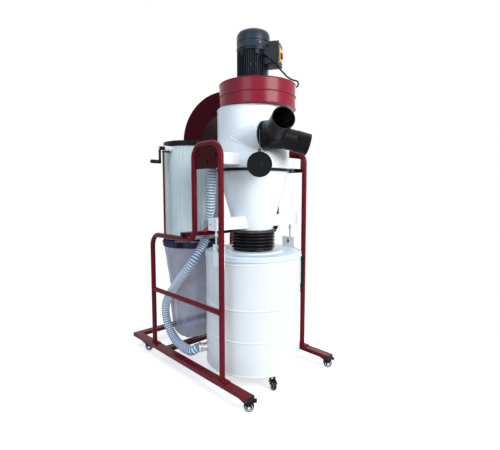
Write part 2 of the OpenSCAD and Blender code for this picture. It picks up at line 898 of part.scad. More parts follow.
module caster_fork(h, wheel_d, braked) {
    crown_z = h - plate_t - boss_h - 0.5 - crown_h;
    outer = wheel_w / 2 + leg_gap + leg_t;
    axle_z = wheel_d / 2;
    top = crown_z + crown_h;
    toe = braked ? 26 : 14;
    outline = [[-10, top], [toe, top], [toe, crown_z], [trail + 7, axle_z], [trail - 7, axle_z]];
    translate([0, 0, crown_z]) cylinder(r = 14, h = crown_h);
    block([-10, -outer, crown_z], [14, outer, top]);
    translate([0, 0, top]) cylinder(r = pin_r, h = boss_h + plate_t - 1);
    if (braked)
        block([24, -outer, crown_z], [46, outer, crown_z + 3]);
    for (y = [-outer, outer - leg_t])
        translate([0, y + leg_t, 0]) rotate([90, 0, 0]) {
            linear_extrude(leg_t) polygon(outline);
            translate([trail, axle_z, 0]) cylinder(r = 7, h = leg_t);
        }
    translate([trail, outer, axle_z]) rotate([90, 0, 0]) cylinder(r = axle_r, h = 2 * outer);
}

module caster_wheel(wheel_d) {
    r = wheel_d / 2;
    w = wheel_w / 2;
    translate([trail, 0, r]) rotate([90, 0, 0]) rotate_extrude() polygon([
        [axle_r + fit, -w], [r - 3, -w], [r, -w + 3], [r, w - 3], [r - 3, w],
        [axle_r + fit, w]
    ]);
}

module at_frame_caster(side, y) {
    translate([mid_x + side * post_x, y, 0]) rotate([0, 0, frame_caster_yaw]) children();
}

module at_drum_caster(i) {
    a = drum_caster_angles[i];
    at_cyclone() rotate([0, 0, a]) translate([drum_caster_r, 0, 0])
        rotate([0, 0, drum_caster_yaw - a]) children();
}

module caster_mounts() {
    color("#1a1a1c") for (side = [-1, 1], y = [front_caster_y, rear_caster_y])
        translate([mid_x + side * post_x, y, 0]) caster_mount(rail_z);
}

module drum_caster_mounts() {
    color("#1a1a1c") for (i = [0 : 2]) at_drum_caster(i) caster_mount(drum_z);
}

module frame_fork(side, y, braked) {
    color("#1a1a1c") at_frame_caster(side, y) caster_fork(rail_z, frame_wheel_d, braked);
}

module frame_wheel(side, y) {
    color("#9aa0a6") at_frame_caster(side, y) caster_wheel(frame_wheel_d);
}

module drum_fork(i) {
    color("#1a1a1c") at_drum_caster(i) caster_fork(drum_z, drum_wheel_d, false);
}

module drum_wheel(i) {
    color("#9aa0a6") at_drum_caster(i) caster_wheel(drum_wheel_d);
}

left_side_frame();
right_side_frame();
side_braces();
base_rails();
base_crossbars();
upper_crossbar();
end_caps();
post_feet();
gusset_plates();
barrel_brackets();
cyclone_barrel();
cyclone_cone();
clamp_band();
inlet_duct();
y_fitting();
lanyard();
inlet_cap();
blower_housing();
outlet_elbow();
motor_body();
fan_cowl();
switch_box();
switch_plate();
power_cord();
cord_coil();
power_plug();
filter_top_plate();
filter_cartridge();
bag_band();
dust_bag();
crank_post();
crank();
bellows();
lift_arms();
left_lift_lever();
right_lift_lever();
drum_body();
drum_lid();
drum_hooks();
lift_rods();
drum_handle();
drum_port();
hose_elbow();
vacuum_hose();
caster_mounts();
drum_caster_mounts();
frame_fork(-1, front_caster_y, true);  // front_left_fork
frame_wheel(-1, front_caster_y);  // front_left_wheel
frame_fork(1, front_caster_y, true);  // front_right_fork
frame_wheel(1, front_caster_y);  // front_right_wheel
frame_fork(-1, rear_caster_y, false);  // rear_left_fork
frame_wheel(-1, rear_caster_y);  // rear_left_wheel
frame_fork(1, rear_caster_y, false);  // rear_right_fork
frame_wheel(1, rear_caster_y);  // rear_right_wheel
drum_fork(0);  // drum_fork_1
drum_wheel(0);  // drum_wheel_1
drum_fork(1);  // drum_fork_2
drum_wheel(1);  // drum_wheel_2
drum_fork(2);  // drum_fork_3
drum_wheel(2);  // drum_wheel_3
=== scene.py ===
"""Looks of the mobile cyclone dust extraction unit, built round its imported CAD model.

Metres, +Z up, in the frame's own coordinates. A "place" is a 4x4 matrix.
"""

import random
from math import cos, exp, pi, radians, sin, sqrt, tau

import bmesh
import bpy
from mathutils import Matrix, Vector, noise


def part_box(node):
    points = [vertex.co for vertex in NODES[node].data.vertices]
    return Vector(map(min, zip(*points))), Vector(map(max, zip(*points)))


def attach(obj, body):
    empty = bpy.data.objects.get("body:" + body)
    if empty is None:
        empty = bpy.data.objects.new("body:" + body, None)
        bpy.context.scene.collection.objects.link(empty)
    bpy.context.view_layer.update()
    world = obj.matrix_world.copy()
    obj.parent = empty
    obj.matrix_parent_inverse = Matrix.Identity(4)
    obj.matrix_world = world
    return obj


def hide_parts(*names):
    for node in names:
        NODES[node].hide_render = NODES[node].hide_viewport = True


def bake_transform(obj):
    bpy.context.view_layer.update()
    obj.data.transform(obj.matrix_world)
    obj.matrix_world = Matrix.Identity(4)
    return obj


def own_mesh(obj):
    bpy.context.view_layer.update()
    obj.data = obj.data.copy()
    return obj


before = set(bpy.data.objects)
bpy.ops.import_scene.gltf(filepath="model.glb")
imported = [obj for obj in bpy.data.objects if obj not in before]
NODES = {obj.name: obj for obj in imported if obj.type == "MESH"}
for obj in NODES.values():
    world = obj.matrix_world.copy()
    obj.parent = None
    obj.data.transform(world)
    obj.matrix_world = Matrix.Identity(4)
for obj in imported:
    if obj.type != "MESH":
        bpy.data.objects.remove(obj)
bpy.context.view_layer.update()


# ---- Places ----

def middle(node):
    low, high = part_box(node)
    return (low + high) / 2


def half_wide(node):
    low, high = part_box(node)
    return (high.x - low.x) / 2


def about(degrees, axis="Z"):
    return Matrix.Rotation(radians(degrees), 4, axis)


def at(x, y, z, turn=0.0):
    return Matrix.Translation((x, y, z)) @ about(turn)


def on_axis(z=0.0, turn=0.0):
    """A place on the axis that the motor, the cyclone and the drum share."""
    return at(AXIS_X, AXIS_Y, z, turn)


def unit(vector):
    return Vector(vector).normalized()


def facing(point, way):
    """Stands the local z along way, at point."""
    return Matrix.Translation(point) @ unit(way).to_track_quat("Z", "Y").to_matrix().to_4x4()


def arc(first, last, count):
    """Angles in radians, from first to last in degrees, in count equal steps."""
    return [radians(first + (last - first) * i / count) for i in range(count + 1)]


def level(degrees):
    """The level direction that lies degrees round from +X."""
    return Vector((cos(radians(degrees)), sin(radians(degrees)), 0))


def linked(name, data):
    piece = bpy.data.objects.new(name, data)
    bpy.context.scene.collection.objects.link(piece)
    return piece


# Read from the frame.
BARREL_LOW, BARREL_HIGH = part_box("cyclone_barrel")
AXIS_X, AXIS_Y, _ = middle("cyclone_barrel")
BARREL_R = half_wide("cyclone_barrel")
MOTOR_LOW, MOTOR_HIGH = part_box("motor_body")
FILTER_LOW, FILTER_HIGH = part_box("filter_cartridge")
FILTER_X, FILTER_Y, _ = middle("filter_cartridge")
FILTER_R = half_wide("filter_cartridge")
LID_LOW, LID_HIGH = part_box("drum_lid")
DRUM_LOW, DRUM_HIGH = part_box("drum_body")
HOUSING_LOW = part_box("blower_housing")[0]
HOUSING_Z, HOUSING_TOP = BARREL_HIGH.z, MOTOR_LOW.z
FOOT_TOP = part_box("post_feet")[1].z

# Sizes of the CAD part that no node's box gives.
DRUM_R, HOUSING_R = 0.232, 0.182
HOUSING_X, HOUSING_Y = HOUSING_LOW.x + HOUSING_R, HOUSING_LOW.y + HOUSING_R
DUCT_TURN, DUCT_W, DUCT_L = 20, 0.150, 0.196
BOX_TURN, GLAND_X, GLAND_Z = -60, 0.072, 1.515
POST_X, POST_YS, BRACE_Z = 0.279, (-0.265, 0.3135), 0.375
HANDLE_TURN = -44
PORT_TURN, PORT_Z = 152, 0.145
CAP_X, CAP_Y, CAP_Z, CAP_TURN = -0.1370, -0.3611, 1.011, -44
CRANK_Y, CRANK_Z = 0.199, 1.115

# Away from the axis, in a place that is turned about it.
OUT = (1, 0, 0)


# ---- Camera, first ----

def make_camera():
    data = bpy.data.cameras.new("camera")
    data.sensor_width, data.lens = 36.0, 26.62
    forward, up = Vector((0.6892, 0.7192, -0.0885)), Vector((0.0612, 0.0639, 0.9961))
    side = forward.cross(up).normalized()
    up = side.cross(forward).normalized()
    turn = Matrix((side, up, -forward.normalized())).transposed().to_4x4()
    camera = linked("camera", data)
    camera.matrix_world = Matrix.Translation((-1.2525, -1.4674, 0.8952)) @ turn
    bpy.context.scene.camera = camera


make_camera()


# ---- Materials ----

ROUGH_SPREAD, COAT_ROUGH = 0.06, 0.08
WHITE_LIGHT = (1, 1, 1, 1)


def node_tree(name):
    material = bpy.data.materials.new(name)
    material.use_nodes = True
    tree = material.node_tree
    return material, tree, tree.nodes["Principled BSDF"]


def put(node, *values, **named):
    """Sets inputs by their order or name, each to a value or to another node's output."""
    sockets = [node.inputs[key] for key in range(len(values))]
    sockets += [node.inputs[key.replace("_", " ")] for key in named]
    for socket, value in zip(sockets, [*values, *named.values()]):
        if isinstance(value, bpy.types.NodeSocket):
            node.id_data.links.new(value, socket)
        else:
            socket.default_value = value
    return node


def add_node(tree, kind, *values, **named):
    """A new shader node, where a name that isn't an input's is a setting of the node."""
    node = tree.nodes.new("ShaderNode" + kind)
    for key in [key for key in named if key.replace("_", " ") not in node.inputs]:
        setattr(node, key, named.pop(key))
    return put(node, *values, **named)


def object_place(tree):
    return add_node(tree, "TexCoord").outputs["Object"]


def noise_node(tree, place, scale, detail=4.0):
    return add_node(tree, "TexNoise", place, Scale=scale, Detail=detail).outputs["Fac"]


def mixed(tree, factor, first, second, low=0.3, high=0.7):
    """A colour that runs from first to second as factor goes from low to high."""
    ramp = add_node(tree, "ValToRGB", factor)
    for stop, spot, colour in zip(ramp.color_ramp.elements, (low, high), (first, second)):
        stop.position, stop.color = spot, (*colour, 1)
    return ramp.outputs["Color"]


def ranged(tree, factor, low, high):
    return add_node(tree, "MapRange", factor, To_Min=low, To_Max=high).outputs["Result"]


def bumped(tree, shader, height, strength, distance):
    bump = add_node(tree, "Bump", Strength=strength, Distance=distance, Height=height)
    put(shader, Normal=bump.outputs["Normal"])


def surface(name, first, second, rough, patch=6.0, grain=900.0, relief=0.15, depth=0.0004,
            metal=0.0, coat=0.0, gloss=0.25):
    """A finish whose colour and gloss drift in patches and whose fine grain shows in relief."""
    material, tree, shader = node_tree(name)
    place = object_place(tree)
    smear = noise_node(tree, place, patch * 5, 5.0)
    put(shader, Base_Color=mixed(tree, noise_node(tree, place, patch), first, second),
        Roughness=ranged(tree, smear, rough - ROUGH_SPREAD, rough + ROUGH_SPREAD),
        Metallic=metal, Specular_IOR_Level=0.5 if metal else gloss, Coat_Weight=coat,
        Coat_Roughness=COAT_ROUGH)
    bumped(tree, shader, noise_node(tree, place, grain, 3.0), relief, depth)
    return material


FRAME_RED = surface("frame_red_paint", (0.110, 0.0032, 0.009), (0.145, 0.0045, 0.012), 0.27,
                    grain=420, relief=0.08, coat=0.02, gloss=0.09)
# A darker copy of the red paint: painted shade on the outlet elbow and the gusset plates, which
# sit in shade.
SHADED_RED = surface("red_paint_painted_shade", (0.045, 0.0018, 0.005), (0.065, 0.0026, 0.007), 0.36,
                   grain=420, relief=0.08, gloss=0.045)
DUCT_RED = surface("duct_red_paint", (0.20, 0.006, 0.019), (0.27, 0.009, 0.027), 0.27,
                   grain=380, relief=0.10, coat=0.05, gloss=0.20)
WHITE = surface("white_paint", (0.87, 0.89, 0.905), (0.90, 0.92, 0.935), 0.32, grain=350,
                relief=0.08, coat=0.12, gloss=0.35)
# A darker copy of the white paint for the drum: painted shade that holds back the strong key light
# on it.
DRUM_SHADED_WHITE = surface("drum_white_painted_shade", (0.74, 0.75, 0.765), (0.78, 0.79, 0.805), 0.36, grain=350,
               relief=0.08, coat=0.04, gloss=0.20)
# The lid's white paint is tinted blue-grey: painted blue shade on the lid.
LID_SHADED_BLUE = surface("lid_paint_blue_shade", (0.63, 0.71, 0.79), (0.69, 0.77, 0.84), 0.34, grain=350,
              relief=0.10, coat=0.1, gloss=0.35)
PLASTIC = surface("black_plastic", (0.005, 0.005, 0.006), (0.010, 0.010, 0.011), 0.34,
                  grain=1400, relief=0.12, gloss=0.10)
RUBBER = surface("black_rubber", (0.005, 0.005, 0.0055), (0.009, 0.009, 0.010), 0.27,
                 grain=700, relief=0.06, gloss=0.22)
MOTOR = surface("motor_paint", (0.008, 0.013, 0.020), (0.015, 0.022, 0.033), 0.38,
                grain=800, relief=0.2, gloss=0.16)
SLATE = surface("cowl_paint", (0.013, 0.021, 0.032), (0.020, 0.032, 0.048), 0.32, grain=500,
                relief=0.12, gloss=0.22)
BOX_GREY = surface("switch_box_plastic", (0.016, 0.020, 0.025), (0.024, 0.028, 0.034), 0.42,
                   grain=1200, relief=0.2, gloss=0.14)
YELLOW = surface("yellow_plastic", (0.75, 0.43, 0.03), (0.82, 0.50, 0.05), 0.38, relief=0.1)
SIGNAL_RED = surface("red_plastic", (0.50, 0.012, 0.010), (0.60, 0.018, 0.014), 0.30,
                     relief=0.1, coat=0.1)
STEEL = surface("bright_steel", (0.55, 0.56, 0.58), (0.68, 0.69, 0.70), 0.28, patch=30,
                metal=1.0, relief=0.1)
DARK_STEEL = surface("dark_steel", (0.05, 0.05, 0.055), (0.09, 0.09, 0.095), 0.35, patch=40,
                     metal=0.9, relief=0.15)
TREAD = surface("wheel_tread", (0.020, 0.020, 0.022), (0.034, 0.034, 0.037), 0.55, grain=1500,
                relief=0.3, gloss=0.15)
HUB = surface("wheel_hub", (0.62, 0.62, 0.63), (0.74, 0.74, 0.75), 0.35, relief=0.1)
WEBBING = surface("navy_webbing", (0.028, 0.038, 0.085), (0.045, 0.058, 0.120), 0.75,
                  patch=60, grain=2200, relief=0.6, depth=0.0006, gloss=0.1)
CABLE = surface("lanyard_cable", (0.18, 0.18, 0.18), (0.30, 0.30, 0.30), 0.4, patch=80)


def make_filter_paper():
    """Pale pleated paper behind a fine diamond mesh, laid out on the piece's own map in metres."""
    material, tree, shader = node_tree("pleated_paper")
    place, waves = add_node(tree, "UVMap").outputs["UV"], []
    for turn in (32, -32):
        mapping = add_node(tree, "Mapping", place, Rotation=(0, 0, radians(turn)))
        waves.append(add_node(tree, "TexWave", mapping.outputs["Vector"],
                              bands_direction="X", Scale=32.0, Distortion=0.0).outputs["Fac"])
    crossed = add_node(tree, "Math", *waves, operation="MAXIMUM").outputs[0]
    put(shader, Roughness=0.55, Base_Color=mixed(tree, crossed, (0.62, 0.71, 0.70),
                                                 (0.90, 0.93, 0.92), 0.5, 0.95))
    bumped(tree, shader, crossed, 0.5, 0.0012)
    return material


def make_film():
    """The bag's thin film: mauve-grey, half clear, with soft wrinkles."""
    material, tree, shader = node_tree("bag_film")
    place = object_place(tree)
    wide = noise_node(tree, place, 7.0, 3.0)
    put(shader, Base_Color=mixed(tree, wide, (0.24, 0.24, 0.35), (0.42, 0.41, 0.55)),
        Alpha=ranged(tree, wide, 0.60, 0.86), Roughness=0.24, Specular_IOR_Level=0.6)
    bumped(tree, shader, noise_node(tree, place, 45.0, 5.0), 0.35, 0.004)
    return material


def make_hose_plastic(name, first, second, clear):
    material, tree, shader = node_tree(name)
    place = object_place(tree)
    drift = noise_node(tree, place, 9.0)
    put(shader, Base_Color=mixed(tree, drift, first, second),
        Alpha=ranged(tree, drift, clear, clear + 0.08), Roughness=0.22)
    bumped(tree, shader, noise_node(tree, place, 500.0), 0.1, 0.0004)
    return material


PAPER, FILM = make_filter_paper(), make_film()
HOSE_RIB = make_hose_plastic("hose_rib", (0.62, 0.72, 0.84), (0.76, 0.84, 0.92), 0.92)
# Dark plastic for the hose's grooves: painted shade in the grooves between the ribs.
HOSE_GROOVE_SHADE = make_hose_plastic("hose_groove_shade", (0.12, 0.18, 0.30), (0.20, 0.27, 0.41), 0.88)


# ---- Shapes ----

def spline_point(a, b, c, d, t):
    return 0.5 * (2 * b + (c - a) * t + (2 * a - 5 * b + 4 * c - d) * t * t
                  + (3 * b - a - 3 * c + d) * t * t * t)


def smoothed(points, steps):
    """A curve through points, with steps pieces between each two."""
    p = [Vector(q) for q in points]
    last = len(p) - 1
    out = [spline_point(p[max(i - 1, 0)], p[i], p[i + 1], p[min(i + 2, last)], k / steps)
           for i in range(last) for k in range(steps)]
    return out + [p[last]]


def evenly(points, step):
    """Points a step apart along a line."""
    out, left = [points[0]], step
    for a, b in zip(points, points[1:]):
        length, done = (b - a).length, 0.0
        while length - done >= left:
            done += left
            out.append(a.lerp(b, done / length))
            left = step
        left -= length - done
    if (out[-1] - points[-1]).length > 0.3 * step:
        out.append(points[-1])
    return out


def rings(points, sides):
    """A ring of unit directions at each point of a line, carried along without twist."""
    last = len(points) - 1
    side, out = Vector((0.3, 0.5, 0.8)), []
    for i in range(last + 1):
        way = unit(points[min(i + 1, last)] - points[max(i - 1, 0)])
        side = unit(side - side.dot(way) * way)
        other = way.cross(side)
        out.append([cos(tau * k / sides) * side + sin(tau * k / sides) * other
                    for k in range(sides)])
    return out


def bound(piece, body, replaces):
    """Says which body a piece rides on, and the CAD nodes it stands for."""
    if body:
        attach(piece, body)
    if replaces:
        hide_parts(*replaces)
    return piece


class Shape:
    """Solids gathered round one place, which together make one piece.

    A call's own place is local to the shape's, and finish counts along make's finishes.
    """

    def __init__(self, place=None):
        self.place = place or Matrix()
        self.verts, self.faces, self.finishes = [], [], []

    def add(self, verts, faces, finish=0, place=None):
        base, place = len(self.verts), self.place @ (place or Matrix())
        self.verts += [place @ Vector(v) for v in verts]
        self.faces += [[base + i for i in face] for face in faces]
        self.finishes += [finish] * len(faces)
        return self

    def lathe(self, profile, steps=64, finish=0, closed=False, place=None):
        """Turns (radius, height) points about the local z; closed joins last to first."""
        count = len(profile)
        verts = [(r * cos(tau * k / steps), r * sin(tau * k / steps), z)
                 for k in range(steps) for r, z in profile]
        spans = count if closed else count - 1
        faces = [(k * count + i, (k + 1) % steps * count + i,
                  (k + 1) % steps * count + (i + 1) % count, k * count + (i + 1) % count)
                 for k in range(steps) for i in range(spans)]
        return self.add(verts, faces, finish, place)

    def disc(self, radius, low, high, steps=64, finish=0, place=None):
        return self.lathe([(0, low), (radius, low), (radius, high), (0, high)], steps, finish,
                          False, place)

    def collar(self, inner, outer, low, high, steps=64, finish=0, place=None):
        return self.lathe([(inner, low), (outer, low), (outer, high), (inner, high)], steps,
                          finish, True, place)

    def ring(self, radius, thick, z, steps=64, finish=0, sides=10, tall=None, place=None):
        """A round bead of radius thick, or taller than it is thick."""
        tall = tall or thick
        profile = [(radius + thick * cos(tau * i / sides), z + tall * sin(tau * i / sides))
                   for i in range(sides)]
        return self.lathe(profile, steps, finish, True, place)

    def box(self, low, high, bevel, finish=0, segments=2, place=None):
        mesh = bmesh.new()
        bmesh.ops.create_cube(mesh, size=1.0)
        low, high = Vector(low), Vector(high)
        for v in mesh.verts:
            v.co = Vector([low[i] + (v.co[i] + 0.5) * (high[i] - low[i]) for i in range(3)])
        bmesh.ops.bevel(mesh, geom=list(mesh.edges), offset=bevel, segments=segments,
                        profile=0.7, affect="EDGES")
        mesh.verts.index_update()
        self.add([v.co.copy() for v in mesh.verts],
                 [[v.index for v in f.verts] for f in mesh.faces], finish, place)
        mesh.free()
        return self

    def tube(self, points, radius, sides=12, finish=0, place=None):
        """A round bar along points, whose radius is one number or one for each point."""
        points = [Vector(p) for p in points]
        count = len(points)
        sizes = radius if isinstance(radius, list) else [radius] * count
        verts = [p + size * way for p, size, ring in zip(points, sizes, rings(points, sides))
                 for way in ring]
        faces = [(i * sides + k, i * sides + (k + 1) % sides,
                  (i + 1) * sides + (k + 1) % sides, (i + 1) * sides + k)
                 for i in range(count - 1) for k in range(sides)]
        faces += [range(sides)[::-1], range((count - 1) * sides, count * sides)]
        return self.add(verts, faces, finish, place)

    def bolt(self, place, size, finish=0, washer=True, sides=6, tall=0.6):
        """A bolt head on a washer, standing on the local z of place."""
        base = 0.15 * size if washer else 0.0
        if washer:
            self.disc(1.15 * size, 0, base, 20, finish, place)
        top = base + tall * size
        return self.lathe([(0, base), (0.85 * size, base), (0.85 * size, top - 0.12 * size),
                           (0.72 * size, top), (0, top)], sides, finish, False, place)

    def make(self, name, finishes, slot, body="unit", replaces=(), angle=35.0):
        """The piece itself, with edges sharper than angle left crisp."""
        data = bpy.data.meshes.new(name)
        data.from_pydata(self.verts, [], self.faces)
        for finish in finishes:
            data.materials.append(finish)
        data.polygons.foreach_set("material_index", self.finishes)
        mesh = bmesh.new()
        mesh.from_mesh(data)
        bmesh.ops.remove_doubles(mesh, verts=mesh.verts, dist=2e-6)
        bmesh.ops.dissolve_degenerate(mesh, edges=mesh.edges, dist=1e-6)
        bmesh.ops.recalc_face_normals(mesh, faces=mesh.faces)
        for face in mesh.faces:
            face.smooth = True
        mesh.to_mesh(data)
        mesh.free()
        data.set_sharp_from_angle(angle=radians(angle))
        return bound(linked(name, data), body, replaces)


# ---- Cords ----

CORD_D, HOSE_D, LANYARD_D = 0.008, 0.046, 0.0025
COIL_X, COIL_Y, COIL_R, PLUG_TURN = 0.073, -0.051, 0.041, 110
CORD_ROUTE = [
    (-0.019, -0.276, 1.511), (-0.014, -0.290, 1.500), (0.014, -0.297, 1.481),
    (0.065, -0.300, 1.452), (0.112, -0.306, 1.427), (0.138, -0.312, 1.421),
    (0.158, -0.318, 1.419), (0.173, -0.313, 1.411), (0.179, -0.302, 1.402),
    (0.181, -0.289, 1.402), (0.175, -0.278, 1.412), (0.162, -0.262, 1.419),
    (0.149, -0.222, 1.417), (0.132, -0.150, 1.399),
]
HOSE_ROUTE = [
    (-0.162, -0.068, 0.965), (-0.161, -0.060, 0.890), (-0.156, -0.046, 0.815),
    (-0.144, -0.015, 0.776), (-0.121, 0.033, 0.744), (-0.113, 0.052, 0.711),
    (-0.116, 0.051, 0.672), (-0.130, 0.040, 0.645), (-0.148, 0.032, 0.626),
    (-0.185, 0.023, 0.588), (-0.209, 0.029, 0.552), (-0.226, 0.068, 0.500),
    (-0.230, 0.153, 0.417), (-0.230, 0.224, 0.345), (-0.230, 0.258, 0.285),
    (-0.230, 0.254, 0.222), (-0.231, 0.220, 0.165), (-0.233, 0.164, 0.126),
    (-0.238, 0.094, 0.112), (-0.245, 0.019, 0.114), (-0.249, -0.021, 0.128),
]


def curve_piece(name, points, diameter, finish, replaces):
    data = bpy.data.curves.new(name, "CURVE")
    data.dimensions = "3D"
    data.bevel_depth, data.bevel_resolution, data.resolution_u = diameter / 2, 3, 6
    data.use_fill_caps = True
    line = data.splines.new("BEZIER")
    line.bezier_points.add(len(points) - 1)
    for spot, point in zip(line.bezier_points, points):
        spot.co = point
        spot.handle_left_type = spot.handle_right_type = "AUTO"
    data.materials.append(finish)
    return bound(linked(name, data), "unit", replaces)


def coil_points():
    """From the outer turn in, up one layer at the inner turn, and out again to the plug."""
    low, outer, inner = HOUSING_TOP + CORD_D / 2, COIL_R + CORD_D, COIL_R - CORD_D
    start, stop = radians(5.2), radians(PLUG_TURN)
    steps, out = 16, []
    for i in range(int(5 * steps + steps * (stop - start) / tau) + 1):
        turns = i / steps
        radius = outer - (outer - inner) * (min(turns, 2) - min(max(turns - 3, 0), 2)) / 2
        z, a = low + CORD_D * min(max(turns - 2, 0), 1), start + tau * turns
        out.append(Vector((COIL_X + radius * cos(a), COIL_Y + radius * sin(a), z)))
    return out


def make_power_cord():
    """From the switch box's gland over the housing's rim to a tied coil and its plug."""
    gland = on_axis(GLAND_Z, BOX_TURN) @ Vector((GLAND_X, -0.059, 0))
    coil = at(COIL_X, COIL_Y, HOUSING_TOP)
    radius, layer = COIL_R + CORD_D, 1.5 * CORD_D
    tail = [coil @ about(PLUG_TURN) @ Vector((radius, y, layer))
            for y in (0.006, 0.016, 0.028, 0.040)]
    route = [gland, gland + 0.008 * level(BOX_TURN - 90)] + [Vector(p) for p in CORD_ROUTE]
    route += coil_points() + tail
    cord = curve_piece("power_cord_lead", route, CORD_D, RUBBER,
                       ["power_cord", "cord_coil"])
    path = evenly(smoothed(route[:4], 8), 0.0015)[:19]
    sizes = [0.0078 - 0.0030 * i / len(path) - (0.0009 if i % 3 == 2 else 0)
             for i in range(len(path))]
    relief = Shape().tube(path, sizes, 16).make("cord_strain_relief", [RUBBER], "black_rubber")
    plug = Shape(coil @ about(PLUG_TURN))
    plug.box((radius - 0.011, 0.040, 0.002), (radius + 0.011, 0.066, 0.018), 0.003)
    plug.box((radius - 0.012, 0.062, 0.0015), (radius + 0.012, 0.067, 0.0185), 0.0015)
    plug.tube([(radius, 0.018 + 0.002 * i, layer - 0.0002 * i) for i in range(13)],
              [0.0052 + 0.00022 * i - (0.0007 if i % 2 else 0) for i in range(13)], 14)
    for x in (radius - 0.006, radius + 0.006):
        plug.box((x - 0.0009, 0.066, 0.0075), (x + 0.0009, 0.083, 0.0135), 0.0004, 1, 1)
    plug = plug.make("mains_plug", [PLASTIC, STEEL], "black_rubber", replaces=["power_plug"])
    tie = Shape(coil @ about(60)).tube([(COIL_R + 0.0142 * cos(a), 0, 0.008 + 0.0098 * sin(a))
                                        for a in arc(0, 360, 24)], 0.0012, 8)
    tie = tie.make("coil_tie", [PLASTIC], "black_rubber")


def make_hose():
    """A ribbed hose that hangs from the unit down to the drum's port at its low end."""
    way, down = level(PORT_TURN), Vector((0, 0, -1))
    top, low = Vector((-0.1621, -0.068, 1.065)), on_axis(PORT_Z).translation + 0.2563 * way
    bends = smoothed([top + 0.024 * down, *HOSE_ROUTE, low + 0.024 * way], 12)
    path = evenly([top, top + 0.012 * down, *bends, low + 0.012 * way, low], 0.0022)
    outer, inner, sides = HOSE_D / 2, HOSE_D / 2 - 0.0032, 24
    rib = (outer - 0.0009, outer, outer - 0.0009, inner + 0.0006, inner, inner + 0.0006)
    hose = Shape().tube(path, [rib[i % 6] for i in range(len(path))], sides)
    # The groove faces take the dark material, which is painted shade between the ribs.
    hose.finishes = [1 if (i // sides) % 6 in (2, 3, 4) else 0 for i in range(len(hose.faces))]
    hose = hose.make("corrugated_hose", [HOSE_RIB, HOSE_GROOVE_SHADE], "hose_plastic", None,
                     ["vacuum_hose"], 70)
    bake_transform(hose)


def make_lanyard():
    """From the inlet down to the ring on its closing cap."""
    top, low, steps = 1.159, 1.073, 15
    points = [(CAP_X + 0.0006 * sin(pi * i / steps), CAP_Y, top + (low - top) * i / steps)
              for i in range(steps + 1)]
    lanyard = curve_piece("cap_lanyard", points, LANYARD_D, CABLE, ["lanyard"])


make_power_cord()
make_hose()
make_lanyard()


# ---- Blower and motor ----

def make_motor():
    tall, outer = MOTOR_HIGH.z - MOTOR_LOW.z, half_wide("motor_body")
    core, skin, fins = outer - 0.010, outer - 0.0002, 48
    motor = Shape(on_axis(MOTOR_LOW.z)).lathe([
        (0, 0), (outer, 0), (outer, 0.010), (core, 0.013), (core, tall - 0.016),
        (outer - 0.001, tall - 0.011), (outer - 0.001, tall), (0, tall)])
    for turn in [360 * i / fins for i in range(fins)]:
        if abs((turn - BOX_TURN + 180) % 360 - 180) > 35:
            motor.box((core - 0.002, -0.0011, 0.012), (outer - 0.0006, 0.0011, tall - 0.013),
                      0.0006, 0, 1, about(turn))
    for turn in (-62, 62, 118, -118):
        spot = about(BOX_TURN + turn)
        motor.box((core - 0.002, -0.008, 0.004), (skin, 0.008, 0.030), 0.002, place=spot)
        motor.box((core - 0.002, -0.007, tall - 0.034), (skin, 0.007, tall - 0.012), 0.002,
                  place=spot)
        motor.bolt(spot @ at(outer - 0.008, 0, 0.030), 0.0048, 1)
    for turn in (-126, -144):
        spot = about(turn) @ at(outer - 0.0045, 0, 0.083)
        motor.ring(0.0052, 0.0021, 0, 20, 1, 8, place=spot @ about(90, "X"))
        motor.disc(0.004, -0.012, -0.006, 12, place=spot)
    motor.make("finned_motor", [MOTOR, DARK_STEEL], "motor_paint", replaces=["motor_body"])


def make_cowl():
    low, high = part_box("fan_cowl")
    tall, outer = high.z - low.z, half_wide("fan_cowl")
    cowl = Shape(on_axis(low.z)).lathe([
        (0, 0), (outer, 0), (outer, 0.005), (outer - 0.0012, 0.007), (outer - 0.0012, 0.028),
        (outer - 0.003, 0.030), (outer - 0.0012, 0.032), (outer - 0.0015, tall - 0.026),
        (outer - 0.004, tall - 0.016), (outer - 0.010, tall - 0.007),
        (outer - 0.020, tall - 0.0022), (0.056, tall - 0.0008), (0.056, tall - 0.005),
        (0, tall - 0.005)], 96)
    for radius in (0.018, 0.027, 0.036, 0.045):
        cowl.ring(radius, 0.0016, tall - 0.0028)
    cowl.lathe([(0, tall - 0.005), (0.012, tall - 0.005), (0.012, tall - 0.001), (0.009, tall),
                (0, tall)], 32)
    for turn in range(0, 360, 45):
        cowl.box((0.010, -0.0018, tall - 0.0048), (0.057, 0.0018, tall - 0.0012), 0.0006, 0, 1,
                 about(turn))
    for turn in (-112, -22, 68, 158):
        cowl.bolt(about(turn) @ facing((outer - 0.0018, 0, 0.016), OUT), 0.0042, 1, sides=16,
                  tall=0.4)
    cowl.make("fan_cowl_shell", [SLATE, DARK_STEEL], "motor_paint", replaces=["fan_cowl"])


